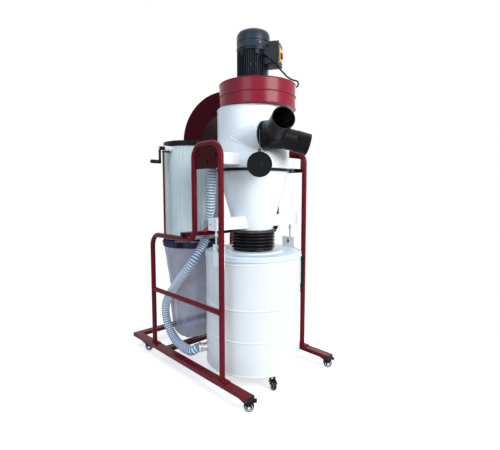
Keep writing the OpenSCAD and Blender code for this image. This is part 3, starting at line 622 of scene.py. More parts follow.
def make_switch_box():
    """The box with its gland, then the yellow stop switch on its face."""
    out, half, low, high = 0.131, 0.045, 1.478, 1.578
    lip, inset, face = out - 0.0095, 0.0008, on_axis(0, BOX_TURN)
    box = Shape(face).box((0.064, -half, low), (0.084, half, 1.554), 0.003)
    box.box((0.0802, -half, low), (out - 0.010, half, high), 0.006, 0, 3)
    box.box((lip, -half + inset, low + inset), (out, half - inset, high - inset), 0.003, 0, 3)
    for y in (-half + 0.008, half - 0.008):
        for z in (low + 0.008, high - 0.008):
            box.bolt(facing((out - 0.0005, y, z), OUT), 0.0034, 1, sides=16, tall=0.35)
    nut = facing((GLAND_X, -half, GLAND_Z), (0, -1, 0))
    box.lathe([(0, -0.002), (0.0095, -0.002), (0.0095, 0.004), (0.0085, 0.005),
               (0.0085, 0.0065), (0, 0.0065)], 6, place=nut)
    box.lathe([(0, 0.006), (0.0075, 0.006), (0.0078, 0.012), (0.0062, 0.0138), (0, 0.014)], 24,
              place=nut)
    box.make("switch_enclosure", [BOX_GREY, STEEL], "motor_paint", replaces=["switch_box"])
    plate = Shape(face).box((out - 0.001, -0.028, 1.492), (out + 0.003, 0.028, 1.550), 0.0014)
    button = facing((out + 0.002, 0, 1.521), OUT)
    plate.lathe([(0, 0), (0.0175, 0), (0.0175, 0.002), (0.0155, 0.0032), (0, 0.0032)], 40, 1,
                place=button)
    plate.lathe([(0, 0.002), (0.009, 0.002), (0.009, 0.005), (0.0138, 0.0056), (0.0138, 0.0075),
                 (0.012, 0.0092), (0.006, 0.0098), (0, 0.0099)], 40, 2, place=button)
    for y, z in ((-0.022, 1.497), (0.022, 1.545)):
        plate.bolt(facing((out + 0.0026, y, z), OUT), 0.0022, 3, False, 14)
    plate.make("stop_switch", [YELLOW, PLASTIC, SIGNAL_RED, STEEL], "yellow_plastic",
               replaces=["switch_plate"])


def make_housing_trim():
    """Rolled rims, the duct's seam, flange and bolts on the blower housing."""
    duct = about(DUCT_TURN)
    trim = Shape(at(HOUSING_X, HOUSING_Y, 0)).ring(0.1797, 0.0022, HOUSING_TOP - 0.0018, 120)
    trim.ring(0.1797, 0.0024, HOUSING_Z + 0.0024, 120).ring(0.1808, 0.0026, 1.3335, 120,
                                                            tall=0.0034)
    for x in (-0.0012, DUCT_W + 0.0012):
        trim.box((x - 0.002, 0.09, 1.331), (x + 0.002, DUCT_L, 1.336), 0.0012, place=duct)
    trim.box((-0.0035, DUCT_L - 0.004, HOUSING_Z), (DUCT_W + 0.0035, DUCT_L + 0.002, HOUSING_TOP),
             0.0014, place=duct)
    for turn in (12, 42, *range(132, 360, 30)):
        trim.bolt(about(turn) @ at(0.168, 0, HOUSING_TOP - 0.0006), 0.0048, 1, tall=0.5)
    trim.make("housing_trim", [DUCT_RED, DARK_STEEL], "duct_red")


def make_elbow_trim():
    """The elbow's welded edges, and its flange on the filter's lid."""
    inner, outer = 0.123, 0.234
    trim = Shape(at(HOUSING_X, HOUSING_Y, FILTER_HIGH.z + 0.016, DUCT_TURN))
    for radius in (inner, outer):
        for x in (0.0, DUCT_W):
            trim.tube([(x, DUCT_L + radius * sin(a), radius * cos(a)) for a in arc(0, 90, 24)],
                      0.0022, 8)
    trim.box((-0.006, DUCT_L + inner - 0.006, 0), (DUCT_W + 0.006, DUCT_L + outer + 0.006, 0.004),
             0.001)
    for x in (0.02, 0.075, 0.13):
        for y in (outer + 0.0005, inner - 0.0005):
            trim.bolt(at(x, DUCT_L + y, 0.0038), 0.004, 1)
    # The elbow's trim takes the darker red, which is painted shade.
    trim.make("elbow_trim", [SHADED_RED, DARK_STEEL], "duct_red")


# ---- Cyclone and its inlet ----

INLET = at(-0.100, -0.188, 1.141, 10) @ about(90, "X")
COLLAR_FROM, COLLAR_R, FORK_AT = 0.147, 0.0625, 0.184
BRANCH_L, BRANCH_R, CUFF_L = 0.162, 0.0455, 0.060


def branch_place(side):
    return INLET @ at(0, 0, FORK_AT) @ about(-22) @ about(43 * side, "Y")


def mesh_of(shape):
    data = bpy.data.meshes.new("part")
    data.from_pydata(shape.verts, [], shape.faces)
    mesh = bmesh.new()
    mesh.from_mesh(data)
    bmesh.ops.remove_doubles(mesh, verts=mesh.verts, dist=1e-6)
    bmesh.ops.recalc_face_normals(mesh, faces=mesh.faces)
    mesh.to_mesh(data)
    mesh.free()
    return linked("part", data)


def apply_modifiers(piece):
    graph = bpy.context.evaluated_depsgraph_get()
    data = bpy.data.meshes.new_from_object(piece.evaluated_get(graph))
    piece.modifiers.clear()
    piece.data = data


def fork_skin():
    """The three pipes and what joins them, blended into one skin."""
    body = Shape().disc(COLLAR_R, COLLAR_FROM, FORK_AT, place=INLET)
    hub_l, steps, start = 0.062, 14, INLET @ at(0, 0, FORK_AT - 0.008)
    for side in (-1, 1):
        place = branch_place(side)
        body.disc(BRANCH_R, 0, BRANCH_L, place=place)
        for share in [i / (steps - 1) for i in range(steps)]:
            radius = (COLLAR_R - 0.001) * (1 - share) + (BRANCH_R - 0.001) * share
            body.disc(radius, -0.004, 0.004, place=start.lerp(place @ at(0, 0, hub_l), share))
    skin = mesh_of(body)
    remesh = skin.modifiers.new("skin", "REMESH")
    remesh.mode, remesh.voxel_size = "VOXEL", 0.0022
    soften = skin.modifiers.new("soften", "SMOOTH")
    soften.factor, soften.iterations = 0.6, 9
    apply_modifiers(skin)
    return skin


def make_y_fitting():
    """A moulded fork, bored through, with a cuff on each branch and a lip on its collar."""
    skin = fork_skin()
    cutters = [mesh_of(Shape(INLET).lathe([
        (0, COLLAR_FROM - 0.01), (0.06, COLLAR_FROM - 0.01), (0.06, 0.165), (0.0555, 0.166),
        (0.0555, FORK_AT + 0.008), (0, FORK_AT + 0.008)]))]
    cutters += [mesh_of(Shape(branch_place(side)).disc(0.044, -0.012, BRANCH_L + 0.01))
                for side in (-1, 1)]
    for cutter in cutters:
        cut = skin.modifiers.new("bore", "BOOLEAN")
        cut.operation, cut.solver, cut.object = "DIFFERENCE", "EXACT", cutter
    apply_modifiers(skin)
    fork = Shape().add([v.co.copy() for v in skin.data.vertices],
                       [list(p.vertices) for p in skin.data.polygons])
    for spent in (*cutters, skin):
        bpy.data.objects.remove(spent)
    bore, cuff = 0.0438, BRANCH_R + 0.001
    for side in (-1, 1):
        fork.lathe([(bore, BRANCH_L - CUFF_L), (BRANCH_R - 0.0005, BRANCH_L - CUFF_L),
                    (cuff, BRANCH_L - CUFF_L + 0.0015), (cuff, BRANCH_L - 0.007),
                    (cuff + 0.001, BRANCH_L - 0.006), (cuff + 0.001, BRANCH_L - 0.001),
                    (cuff, BRANCH_L), (bore, BRANCH_L)], 72, 0, True, branch_place(side))
    fork.place = INLET
    fork.collar(0.060, COLLAR_R + 0.0012, COLLAR_FROM, COLLAR_FROM + 0.008, 72)
    fork.box((-COLLAR_R - 0.008, 0.018, 0.160), (-COLLAR_R + 0.003, 0.021, 0.168), 0.001)
    fork.make("y_fitting_skin", [PLASTIC], "black_plastic", replaces=["y_fitting"], angle=45)


def make_inlet_trim():
    """A bead on the inlet's end, and the weld where the inlet runs into the barrel."""
    trim = Shape().ring(0.0603, 0.0016, 0.128, 72, place=INLET)
    back, points = INLET.to_3x3() @ Vector((0, 0, 1)), []
    for a in arc(0, 360, 72):
        spot = INLET @ Vector((0.0605 * cos(a), 0.0605 * sin(a), 0))
        out = spot - Vector((AXIS_X, AXIS_Y, spot.z))
        b, c = out.dot(back), out.dot(out) - BARREL_R ** 2
        points.append(spot + back * (-b + sqrt(max(b * b - c, 0.0))))
    trim.tube(points, 0.0026, 8)
    trim.make("inlet_weld", [WHITE], "white_paint")


def make_cap_rim():
    """The raised rim and rings of the closing cap, in front of its plain disc."""
    rim = Shape(at(CAP_X, CAP_Y, CAP_Z, CAP_TURN) @ about(90, "X"))
    rim.ring(0.0505, 0.0028, 0.0032, 80).ring(0.030, 0.0012, 0.003)
    rim.lathe([(0, 0.002), (0.012, 0.002), (0.012, 0.0042), (0.010, 0.005), (0, 0.005)], 40)
    rim.ring(0.0042, 0.0014, 0.0, 24, place=at(0, 0.059, 0.002))
    rim.make("inlet_cap_rim", [PLASTIC], "black_plastic")


def make_barrel_trim():
    trim = Shape(on_axis()).ring(BARREL_R, 0.0020, BARREL_HIGH.z - 0.003, 120)
    trim.ring(BARREL_R, 0.0018, BARREL_LOW.z + 0.010, 120)
    trim.box((-0.0012, BARREL_R - 0.0006, BARREL_LOW.z + 0.01),
             (0.0012, BARREL_R + 0.0008, BARREL_HIGH.z - 0.004), 0.0005, 0, 1, about(-12))
    trim.ring(0.0925, 0.0022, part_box("cyclone_cone")[0].z + 0.004, 96)
    trim.make("barrel_beads", [WHITE], "white_paint")


def make_band_trim():
    """The clamp band's rolled edges, its lug and its bolt."""
    trim, turn, lug = Shape(on_axis(BARREL_LOW.z)), about(HANDLE_TURN), BARREL_R + 0.017
    for z in (-0.0052, 0.0052):
        trim.ring(BARREL_R + 0.0042, 0.0012, z, 120)
    trim.tube([(lug, y, 0) for y in (-0.018, 0, 0.018)], 0.003, 12, 1, turn)
    for y in (-0.016, 0.012):
        trim.bolt(turn @ facing((lug, y, 0), (0, 1, 0)), 0.006, 1)
    trim.make("band_bolt", [PLASTIC, DARK_STEEL], "black_plastic")


# ---- Frame details ----

def make_gusset_bolts():
    bolts = Shape()
    for side in (-1, 1):
        for y, z in ((-0.113, 1.059), (-0.231, 1.054), (-0.171, 1.030)):
            bolts.bolt(facing((AXIS_X + side * (POST_X + 0.0018), y, z), (side, 0, 0)), 0.0066,
                       tall=0.7)
    bolts.make("gusset_bolts", [PLASTIC], "black_plastic")


def make_welds():
    """Small weld beads where the posts meet their feet and the side braces."""
    welds, foot_r, brace_r = Shape(), 0.0127, 0.0122
    front, back = POST_YS
    spots = [(foot_r, y, FOOT_TOP + 0.0012, (0, 0, 1)) for y in POST_YS]
    spots += [(brace_r, y, BRACE_Z, (0, 1, 0)) for y in (front + brace_r, back - brace_r)]
    for x in (AXIS_X - POST_X, AXIS_X + POST_X):
        for radius, y, z, way in spots:
            welds.ring(radius, 0.0018, 0, 32, 0, 6, place=facing((x, y, z), way))
    welds.make("weld_beads", [FRAME_RED], "frame_red")


def make_foot_bolts():
    bolts = Shape()
    for x in (AXIS_X - POST_X, AXIS_X + POST_X):
        for y in POST_YS:
            for way in (-0.024, 0.024):
                bolts.bolt(at(x, y + way, FOOT_TOP - 0.0004), 0.0052)
    bolts.make("foot_bolts", [DARK_STEEL], "black_plastic")


def make_crossbar_knob():
    _, y, z = middle("upper_crossbar")
    knob = Shape(facing((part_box("upper_crossbar")[0].x - 0.004, y, z), (-1, 0, 0)))
    knob.lathe([(0, 0), (0.006, 0), (0.006, 0.002), (0.010, 0.003), (0.011, 0.005),
                (0.009, 0.0075), (0, 0.008)], 28)
    knob.make("crossbar_knob", [PLASTIC], "black_plastic")


# ---- Filter and bag ----

def mapped(name, rows, columns, point, finish, node):
    """A sheet of points closed round the filter's axis, mapped in metres along and up it."""
    place = at(FILTER_X, FILTER_Y, 0)
    verts = [place @ Vector(point(i, k)) for i in range(rows) for k in range(columns)]
    faces = [(i * columns + k, i * columns + (k + 1) % columns,
              (i + 1) * columns + (k + 1) % columns, (i + 1) * columns + k)
             for i in range(rows - 1) for k in range(columns)]
    data = bpy.data.meshes.new(name)
    data.from_pydata(verts, [], faces)
    layer = data.uv_layers.new(name="map")
    for n, loop in enumerate(data.loops):
        column = n // 4 % columns + (n % 4 in (1, 2))
        layer.data[n].uv = (column / columns * tau * FILTER_R, verts[loop.vertex_index].z)
    data.materials.append(finish)
    data.polygons.foreach_set("use_smooth", [True] * len(data.polygons))
    return bound(linked(name, data), "unit", [node])


def make_filter():
    low, high, inner = FILTER_LOW.z, FILTER_HIGH.z, FILTER_R - 0.012
    columns, rows, depth, pleat = 480, 24, 0.008, (0.0, 0.5, 1.0, 0.5)

    def point(i, k):
        radius, a = FILTER_R - 0.0006 - depth * pleat[k % 4], tau * k / columns
        return radius * cos(a), radius * sin(a), low + (high - low) * i / (rows - 1)

    mapped("pleated_filter", rows, columns, point, PAPER, "filter_cartridge")
    rims = Shape(at(FILTER_X, FILTER_Y, 0)).lathe([
        (inner, low), (FILTER_R, low), (FILTER_R, low + 0.010), (FILTER_R - 0.002, low + 0.012),
        (inner, low + 0.012)], 96, 0, True)
    rims.collar(inner, FILTER_R + 0.0015, high - 0.010, high, 96)
    rims.ring(FILTER_R + 0.001, 0.0024, high + 0.003, 96)
    rims.lathe([(0, high - 0.002), (FILTER_R - 0.002, high - 0.002), (0, high - 0.001)], 48)
    rims.make("filter_rims", [PLASTIC], "black_plastic")


def make_bag_band():
    """Rippled webbing with rolled edges, and buckles round it."""
    (low, high), outer = [corner.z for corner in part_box("bag_band")], half_wide("bag_band")
    columns, rows, draw = 180, 9, random.Random(5)
    phases = [draw.uniform(0, tau) for _ in range(4)]

    def point(i, k):
        a, up = tau * k / columns, i / (rows - 1)
        ripple = sum(0.0008 * sin(n * a + p) for n, p in zip((5, 9, 14, 23), phases))
        radius = outer - 0.0035 + 0.003 * sin(pi * up) + ripple * 0.8
        return radius * cos(a), radius * sin(a), low + (high - low) * up + ripple * 0.6

    mapped("bag_band_webbing", rows, columns, point, WEBBING, "bag_band")
    strap = Shape(at(FILTER_X, FILTER_Y, 0))
    for z in (low + 0.006, high - 0.006):
        strap.ring(outer - 0.0012, 0.0011, z, 120, 0, 8, 0.0018)
    for turn in (-150, -62, 28, 118):
        for deep, start, stop, out, inset, bevel, finish, segments in (
                (0.004, -0.018, 0.018, 0.0018, 0.005, 0.0018, 1, 2),
                (0.003, -0.006, 0.006, 0.0032, 0.002, 0.0015, 1, 2),
                (0.003, 0.018, 0.050, 0.0006, 0.010, 0.0006, 0, 1)):
            strap.box((outer - deep, start, low + inset), (outer + out, stop, high - inset),
                      bevel, finish, segments, about(turn))
    strap.make("band_buckles", [WEBBING, PLASTIC], "bag_band")


def make_dust_bag():
    """A soft film tube that hangs from the band, bulges, folds and sags onto its closed end."""
    floor, top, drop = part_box("dust_bag")[0].z + 0.001, 0.606, 0.51
    columns, rows, draw = 144, 84, random.Random(11)
    folds = [(n, draw.uniform(0, tau), draw.uniform(-5, 5), draw.uniform(0.5, 1.0))
             for n in (3, 4, 5, 7, 9, 11, 13, 17)]
    # Height, radius, and how far the middle leans in x and y.
    spine = [(top, 0.1600, 0.000, 0.000), (0.585, 0.1600, 0.001, 0.000),
             (0.500, 0.1520, 0.006, -0.002), (0.390, 0.1410, 0.012, -0.004),
             (0.250, 0.1280, 0.008, 0.004), (0.150, 0.1080, 0.002, 0.006),
             (0.108, 0.0860, 0.000, 0.006), (0.096, 0.0500, 0.000, 0.006),
             (0.093, 0.0060, 0.000, 0.006)]
    line = smoothed([(r, z, 0) for z, r, _, _ in spine], 16)
    lean = smoothed([(x, y, 0) for _, _, x, y in spine], 16)
    total = len(line) - 1

    def point(i, k):
        spot = i / (rows - 1) * total
        j = min(int(spot), total - 1)
        radius, z, _ = line[j].lerp(line[j + 1], spot - j)
        off = lean[j].lerp(lean[j + 1], spot - j)
        a, hang = tau * k / columns, (top - z) / drop
        fold = sum(w * sin(n * a + p + s * hang) / n ** 0.5 for n, p, s, w in folds)
        small = noise.noise(Vector((6 * cos(a), 6 * sin(a), 14 * z)))
        pucker = 0.0016 * sin(40 * a) * exp(-hang * 9)
        swell = min(1.0, 6 * hang) * (0.004 + 0.004 * hang)
        radius = max(0.004, radius - 0.003 + fold * swell * min(1, radius / 0.08)
                     + 0.0028 * small * min(1.0, 5 * hang) + pucker)
        z += 0.003 * sin(3 * a + 1.0) * max(0.0, hang - 0.85) * 6
        return radius * cos(a) + off.x, radius * sin(a) + off.y, max(z, floor)

    mapped("dust_bag_film", rows, columns, point, FILM, "dust_bag")


# ---- Drum and what lifts it ----

def worm_clamp(place, radius, width):
    """A hose clamp round the local z, with its screw on the local x."""
    half, screw = width / 2, radius + 0.0046
    clamp = Shape(place).collar(radius - 0.0003, radius + 0.0011, -half, half, 72)
    clamp.box((radius, -0.007, -half - 0.0012), (radius + 0.0032, 0.007, half + 0.0012), 0.0008)
    clamp.tube([(screw, -0.007, 0), (screw, 0.007, 0)], 0.0032)
    return clamp.bolt(facing((screw, 0.0065, 0), (0, 1, 0)), 0.0036, tall=1)


def make_bellows():
    """Five ribs between two plain cuffs."""
    low, high = [corner.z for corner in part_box("bellows")]
    bottom, top, ribs, steps, bore = low + 0.008, high - 0.014, 5, 10, 0.0905
    profile = [(bore, low), (0.0965, low), (0.0978, low + 0.0015), (0.0978, bottom - 0.002),
               (0.0965, bottom)]
    for i in range(ribs * steps + 1):
        wave = 0.5 - 0.5 * cos(tau * i / steps)
        profile.append((0.0975 + 0.0098 * wave ** 0.6,
                        bottom + 0.0008 + (top - bottom - 0.0016) * i / (ribs * steps)))
    profile += [(0.1045, top + 0.0005), (0.1056, top + 0.002), (0.1056, high - 0.002),
                (0.1045, high), (bore, high)]
    bellows = Shape(on_axis()).lathe(profile, 120, 0, True)
    bellows = bellows.make("bellows_ribs", [RUBBER], "black_rubber", "unit", ["bellows"], 50)
    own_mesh(bellows)
    clamp = worm_clamp(on_axis(high - 0.007, -60), 0.1058, 0.007)
    clamp.make("bellows_clamp", [DARK_STEEL], "black_rubber")


def make_hose_clamps():
    way = level(PORT_TURN)
    low_end = facing(on_axis(PORT_Z).translation + 0.269 * way, way)
    for name, body, place in (("upper", "unit", at(-0.1621, -0.068, 1.050, -75)),
                              ("lower", "drum", low_end)):
        worm_clamp(place, 0.0233, 0.010).make(f"{name}_hose_clamp", [STEEL], "bright_steel", body)


def make_lid_trim():
    trim = Shape(on_axis()).ring(DRUM_R + 0.0032, 0.0022, LID_LOW.z + 0.0022, 144)
    trim.ring(DRUM_R + 0.0026, 0.0014, LID_LOW.z + 0.0178, 144)
    trim.ring(0.1440, 0.0022, LID_HIGH.z - 0.0032, 120)
    for turn in (31, 121, 211, 301):
        trim.bolt(about(turn) @ at(0.128, 0, LID_HIGH.z - 0.0004), 0.0055, 1)
    # The lid's beads share its blue-grey painted shade.
    trim.make("lid_beads", [LID_SHADED_BLUE, STEEL], "white_paint", "drum")


def make_drum_trim():
    """The drum's foot bead, shoulder bead and seam, and the weld round its hose port."""
    trim = Shape(on_axis()).ring(DRUM_R - 0.0005, 0.0028, DRUM_LOW.z + 0.0042, 144, tall=0.0045)
    trim.ring(DRUM_R, 0.0016, DRUM_HIGH.z - 0.026, 144, tall=0.0026)
    trim.box((DRUM_R - 0.001, -0.0014, DRUM_LOW.z + 0.01),
             (DRUM_R + 0.0009, 0.0014, DRUM_HIGH.z - 0.028), 0.0006, 0, 1, about(70))
    # The drum's beads take its darker white, which is painted shade.
    trim.make("drum_beads", [DRUM_SHADED_WHITE], "white_paint", "drum")
    port = Shape(on_axis(PORT_Z, PORT_TURN) @ about(90, "Y"))
    port.ring(0.0212, 0.0026, DRUM_R + 0.0006, 40)
    port.make("port_weld", [STEEL], "bright_steel", "drum")


def make_lift_details():
    """Threads, nuts and hook pins on the rods, and bolts and edge strips on the lift arms."""
    rods, arms, y = Shape(), Shape(), -0.196
    for side in (-1, 1):
        x, pin, edge = [AXIS_X + side * out for out in (0.251, 0.2370, 0.120)]
        rods.tube([(x, y, 0.652 + 0.0008 * i) for i in range(60)],
                  [0.0043 if i % 2 else 0.0037 for i in range(60)], 16)
        rods.bolt(at(x, y, 0.7118), 0.0064, tall=0.8)
        rods.collar(0.0040, 0.0095, 0, 0.0012, 28, place=at(x, y, 0.7026))
        for way in (-1, 1):
            rods.lathe([(0, 0), (0.0068, 0), (0.0068, 0.003), (0.0055, 0.0042), (0, 0.0042)], 24,
                       place=facing((x + way * 0.0128 - 0.001 * side, y, 0.648), (way, 0, 0)))
        rods.box((pin - 0.0024, y - 0.0056, 0.6286), (pin + 0.0024, y + 0.0056, 0.6436), 0.001, 1)
        for bolt_y, z in ((-0.214, 0.772), (-0.1745, 0.736)):
            arms.bolt(facing((AXIS_X + side * 0.2745, bolt_y, z), (side, 0, 0)), 0.004, 1)
        arms.box((edge - 0.003, -0.223, 0.7265), (edge + 0.003, -0.169, 0.7835), 0.0014)
    rods.make("rod_threads", [STEEL, PLASTIC], "bright_steel", "drum")
    arms.make("lift_arm_details", [WHITE, STEEL], "white_paint")


def make_lever_grips():
    for side, body in ((-1, "left_lever"), (1, "right_lever")):
        way = (side, 0, 0)
        sizes = [0.0068 + 0.0004 * sin(1.1 * i) for i in range(41)]
        sizes[:2], sizes[-2:] = (0.0052, 0.0064), (0.0056, 0.003)
        grip = Shape(at(AXIS_X + side * 0.2615, -0.184, 0.754) @ about(-27, "X"))
        grip.tube([(0, 0.028 + 0.0011 * i, 0) for i in range(41)], sizes, 20)
        grip.lathe([(0, 0.0018), (0.0105, 0.0018), (0.0105, 0.0026), (0.0098, 0.0032),
                    (0, 0.0032)], 32, 1, place=facing((0, 0, 0), way))
        grip.bolt(facing((side * 0.0030, 0, 0), way), 0.0056, 1)
        grip.make(f"{body}_grip", [SIGNAL_RED, STEEL], "lever_red", body)


def make_drum_handle():
    """A thick-waisted bar on two riveted brackets."""
    handle, r, low, high, steps = Shape(on_axis(0, HANDLE_TURN)), DRUM_R, 0.423, 0.580, 24
    for z in (low, high - 0.020):
        handle.box((r - 0.001, -0.011, z), (r + 0.004, 0.011, z + 0.020), 0.0016)
        handle.box((r + 0.002, -0.008, z + 0.001), (r + 0.0195, 0.008, z + 0.019), 0.004, 0, 3)
        for y in (-0.0094, 0.0094):
            handle.lathe([(0, 0), (0.0022, 0), (0.0016, 0.0011), (0, 0.0014)], 12, 1,
                         place=facing((r + 0.004, y, z + 0.010), OUT))
    handle.tube([(r + 0.0140, 0, low + 0.012 + (high - low - 0.024) * i / steps)
                 for i in range(steps + 1)],
                [0.0048 + 0.0016 * sin(pi * i / steps) ** 0.5 for i in range(steps + 1)], 20)
    handle.make("drum_side_handle", [PLASTIC, DARK_STEEL], "black_plastic", "drum",
                ["drum_handle"])


# ---- Crank ----

def make_crank_details():
    """A ringed grip with its crank's bolt and arm, then the bearing on the post."""
    y, z, front, post = CRANK_Y, CRANK_Z, -0.2836, AXIS_X + 0.007 - POST_X
    sizes = [0.0094 - (0.0007 if i % 5 == 2 else 0) for i in range(43)]
    sizes[0], sizes[-3:] = 0.0085, (0.0085, 0.0066, 0.003)
    grip = Shape().tube([(-0.2855 - 0.0011 * i, y, z - 0.068) for i in range(43)], sizes, 20)
    grip.bolt(facing((front, y, z), (-1, 0, 0)), 0.0068, 1)
    grip.box((front - 0.0012, y - 0.0045, z - 0.062), (front, y + 0.0045, z - 0.012), 0.0005, 0, 1)
    grip.make("crank_grip", [PLASTIC, STEEL], "black_plastic", "crank")
    spot = facing((post + 0.0052, y, z), OUT)
    bearing = Shape().lathe([(0.0064, -0.0006), (0.0128, -0.0006), (0.0138, 0.0004),
                             (0.0138, 0.0440), (0.0128, 0.0450), (0.0064, 0.0450)], 40, 2, True,
                            spot)
    for along in (0.004, 0.038):
        bearing.ring(0.0136, 0.0012, along, 40, 2, place=spot)
    for x in (post + 0.008, post + 0.026):
        bearing.bolt(at(x, y, 0.0295), 0.0036, 1, False)
    bearing.make("bearing_sleeve", [FRAME_RED, DARK_STEEL, HUB], "frame_red")


# ---- Casters ----

def make_wheel(node, yaw):
    """Tread, rim and a spoked hub, each the same on both sides of the wheel's middle."""
    low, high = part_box(node)
    half, r = 0.008, (high.z - low.z) / 2
    rim, hub = r - 0.0052, r - 0.0078
    wheel = Shape(facing(middle(node), level(yaw + 90)))
    for finish, side in enumerate((
            [(rim, half), (r - 0.0024, half), (r - 0.0007, half - 0.0014), (r, half - 0.0040)],
            [(rim - 0.0030, half - 0.0012), (rim - 0.0020, half - 0.0001),
             (rim + 0.0004, half - 0.0003)],
            [(0.0031, half + 0.0002), (0.0062, half + 0.0002), (0.0070, half - 0.0022),
             (hub, half - 0.0022)])):
        wheel.lathe([(radius, -z) for radius, z in side] + side[::-1], 48, finish, finish > 0)
    for turn in range(0, 360, 72):
        for z in (-half + 0.0010, half - 0.0022):
            wheel.box((0.0065, -0.0011, z), (hub, 0.0011, z + 0.0012), 0.0004, 2, 1, about(turn))
    wheel.make(f"{node}_tread_and_hub", [TREAD, HUB, PLASTIC], "wheel_tread", node, [node], 30)


def make_caster_details(fork, body, place, wheel_r, crown, braked):
    """Axle nuts, swivel rings, mudguard, brake pedal and plate bolts."""
    trail, outer, parts, plate = 0.015, 0.0117, Shape(place), Shape(place)
    for way in (-1, 1):
        spot = facing((trail, way * outer, wheel_r), (0, way, 0))
        parts.disc(0.0064, 0, 0.0008, 24, 1, spot)
        parts.lathe([(0, 0), (0.0052, 0), (0.0052, 0.0026), (0.0042, 0.0034), (0, 0.0034)], 6, 1,
                    place=spot)
    parts.ring(0.0135, 0.0013, crown + 0.0040, 36).ring(0.0100, 0.0012, crown + 0.0044, 36)
    reach, steps, half = wheel_r + 0.0016, 16, outer - 0.0012
    loop = [(r * cos(a), r * sin(a)) for r, angles in (
        (reach, arc(28, 170, steps)), (reach + 0.0012, arc(170, 28, steps))) for a in angles]
    n = len(loop)
    verts = [(trail + x, y, min(wheel_r + z, crown + 0.001)) for y in (-half, half)
             for x, z in loop]
    guard = [(i, (i + 1) % n, n + (i + 1) % n, n + i) for i in range(n)]
    guard += [(i, i + 1, n - 2 - i, n - 1 - i) for i in range(steps)]
    guard += [(2 * n - 1 - i, 2 * n - 2 - i, n + i + 1, n + i) for i in range(steps)]
    parts.add(verts, guard)
    if braked:
        parts.box((0.030, -0.0125, crown + 0.0024), (0.0475, 0.0125, crown + 0.0062), 0.0016)
        for x in [0.0325 + 0.0034 * k for k in range(4)]:
            parts.box((x, -0.010, crown + 0.0058), (x + 0.0016, 0.010, crown + 0.0071), 0.0005, 0,
                      1)
    parts.make(f"{fork}_fittings", [PLASTIC, STEEL], "black_plastic", fork)
    for x in (-0.0135, 0.0135):
        for y in (-0.0135, 0.0135):
            plate.bolt(facing((x, y, crown + 0.0072), (0, 0, -1)), 0.0030, tall=0.7)
    plate.make(f"{fork}_plate_bolts", [STEEL], "bright_steel", body)


def make_casters():
    for node in [node for node in NODES if node.endswith("wheel") or "_wheel_" in node]:
        yaw, radius, mounts, body = (-44, 0.0205, "caster_mounts", "unit")
        if node.startswith("drum"):
            yaw, radius, mounts, body = (-110, 0.023, "drum_caster_mounts", "drum")
        make_wheel(node, yaw)
        x, y, _ = middle(node) - 0.015 * level(yaw)
        make_caster_details(node.replace("wheel", "fork"), body, at(x, y, 0, yaw), radius,
                            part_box(mounts)[1].z - 0.011, node.startswith("front"))


# ---- The plain CAD pieces' own finishes ----

PAINT = {
    FRAME_RED: ["left_side_frame", "right_side_frame", "side_braces", "base_rails",
                "base_crossbars", "upper_crossbar", "post_feet", "crank_post"],
    # The darker red on the gussets and the elbow is painted shade.
    SHADED_RED: ["gusset_plates", "outlet_elbow"],
    DUCT_RED: ["blower_housing"],
    WHITE: ["barrel_brackets", "cyclone_barrel", "cyclone_cone", "inlet_duct", "lift_arms",
            "drum_hooks"],
    # The drum's darker white is painted shade against the key light.
    DRUM_SHADED_WHITE: ["drum_body"],
    # The lid's blue-grey is painted shade.
    LID_SHADED_BLUE: ["drum_lid"],
    STEEL: ["lift_rods", "drum_port"],
    SIGNAL_RED: ["left_lift_lever", "right_lift_lever"],
}


def paint_nodes():
    """Black plastic for the nodes that PAINT leaves out."""
    finish_of = {node: finish for finish, nodes in PAINT.items() for node in nodes}
    for name, piece in NODES.items():
        finish = finish_of.get(name, PLASTIC)
        if not piece.material_slots:
            piece.data.materials.append(finish)
        for slot in piece.material_slots:
            slot.material = finish


paint_nodes()
for build in (make_motor, make_cowl, make_switch_box, make_housing_trim, make_elbow_trim,
              make_y_fitting, make_inlet_trim, make_cap_rim, make_barrel_trim, make_band_trim,
              make_gusset_bolts, make_welds, make_foot_bolts, make_crossbar_knob, make_filter,
              make_bag_band, make_dust_bag, make_bellows, make_hose_clamps, make_lid_trim,
              make_drum_trim, make_lift_details, make_lever_grips, make_drum_handle,
              make_crank_details, make_casters):
    build()


# ---- Floor, background and lights ----

def background_rays(tree):
    """1 for a ray from the camera, or one reflected or passed on by the object."""
    rays = add_node(tree, "LightPath").outputs
    out = rays["Is Camera Ray"]
    for name in ("Is Glossy Ray", "Is Transmission Ray"):
        out = add_node(tree, "Math", out, rays[name], operation="MAXIMUM").outputs[0]
    return out


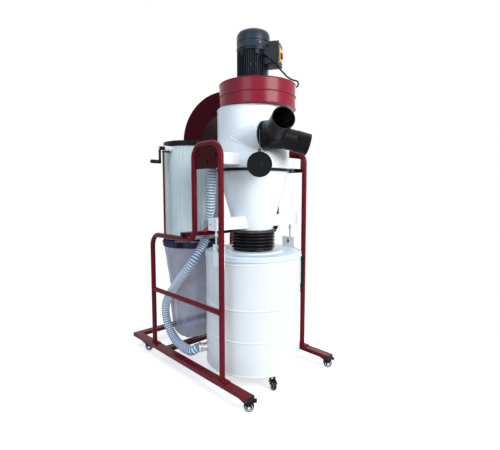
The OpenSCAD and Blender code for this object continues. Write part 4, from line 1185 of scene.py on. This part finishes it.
def make_floor():
    """Pale floor that holds the object's shadow, and turns into white background further out."""
    data = bpy.data.meshes.new("floor")
    data.from_pydata([(-40, -40, 0), (40, -40, 0), (40, 40, 0), (-40, 40, 0)], [], [(0, 1, 2, 3)])
    material, tree, shader = node_tree("pale_floor")
    place, seen = object_place(tree), background_rays(tree)
    put(shader, Roughness=0.9, Specular_IOR_Level=0.05,
        Base_Color=mixed(tree, noise_node(tree, place, 0.6, 2.0), (0.66, 0.66, 0.66),
                         (0.68, 0.68, 0.68)))
    part = add_node(tree, "Math", seen, 0.56, operation="MULTIPLY").outputs[0]
    lift, white = [add_node(tree, "Emission", WHITE_LIGHT, strength).outputs[0]
                   for strength in (part, seen)]
    near = add_node(tree, "AddShader", shader.outputs[0], lift)
    length = add_node(tree, "VectorMath", place, operation="LENGTH")
    away = add_node(tree, "MapRange", length.outputs["Value"], From_Min=0.7,
                    From_Max=1.9, interpolation_type="SMOOTHSTEP")
    mix = add_node(tree, "MixShader", away.outputs["Result"], near.outputs[0], white)
    put(tree.nodes["Material Output"], Surface=mix.outputs[0])
    data.materials.append(material)
    linked("floor", data)


def make_world():
    """A soft, slightly blue light on the object, and a white background."""
    world = bpy.data.worlds.new("studio")
    bpy.context.scene.world = world
    world.use_nodes = True
    tree = world.node_tree
    tree.nodes.clear()
    soft, white = [add_node(tree, "Background", colour, strength).outputs[0]
                   for colour, strength in (((0.88, 0.95, 1, 1), 0.68), (WHITE_LIGHT, 1.0))]
    mix = add_node(tree, "MixShader", background_rays(tree), soft, white)
    add_node(tree, "OutputWorld", Surface=mix.outputs[0])


def make_light(name, spot, aim, size, power, colour=(1, 1, 1)):
    data = bpy.data.lights.new(name, "AREA")
    data.shape, data.size, data.size_y = "RECTANGLE", *size
    data.energy, data.color = power, colour
    turn = (Vector(aim) - Vector(spot)).to_track_quat("-Z", "Y").to_matrix().to_4x4()
    linked(name, data).matrix_world = Matrix.Translation(spot) @ turn


make_floor()
make_world()
make_light("key", (-0.1, -3.2, 2.2), (0, 0, 1.7), (1.8, 1.8), 112)
make_light("fill", (-3.2, -1.0, 2.3), (0, 0, 1.5), (1.4, 1.8), 34, (0.46, 0.74, 1.0))
make_light("top", (0.3, 0.2, 3.6), (0, 0, 0.8), (2.0, 2.0), 16)
make_light("rim", (2.6, 0.9, 2.0), (0, 0, 0.9), (1.0, 1.8), 10)
bpy.context.scene.view_settings.view_transform = "Standard"
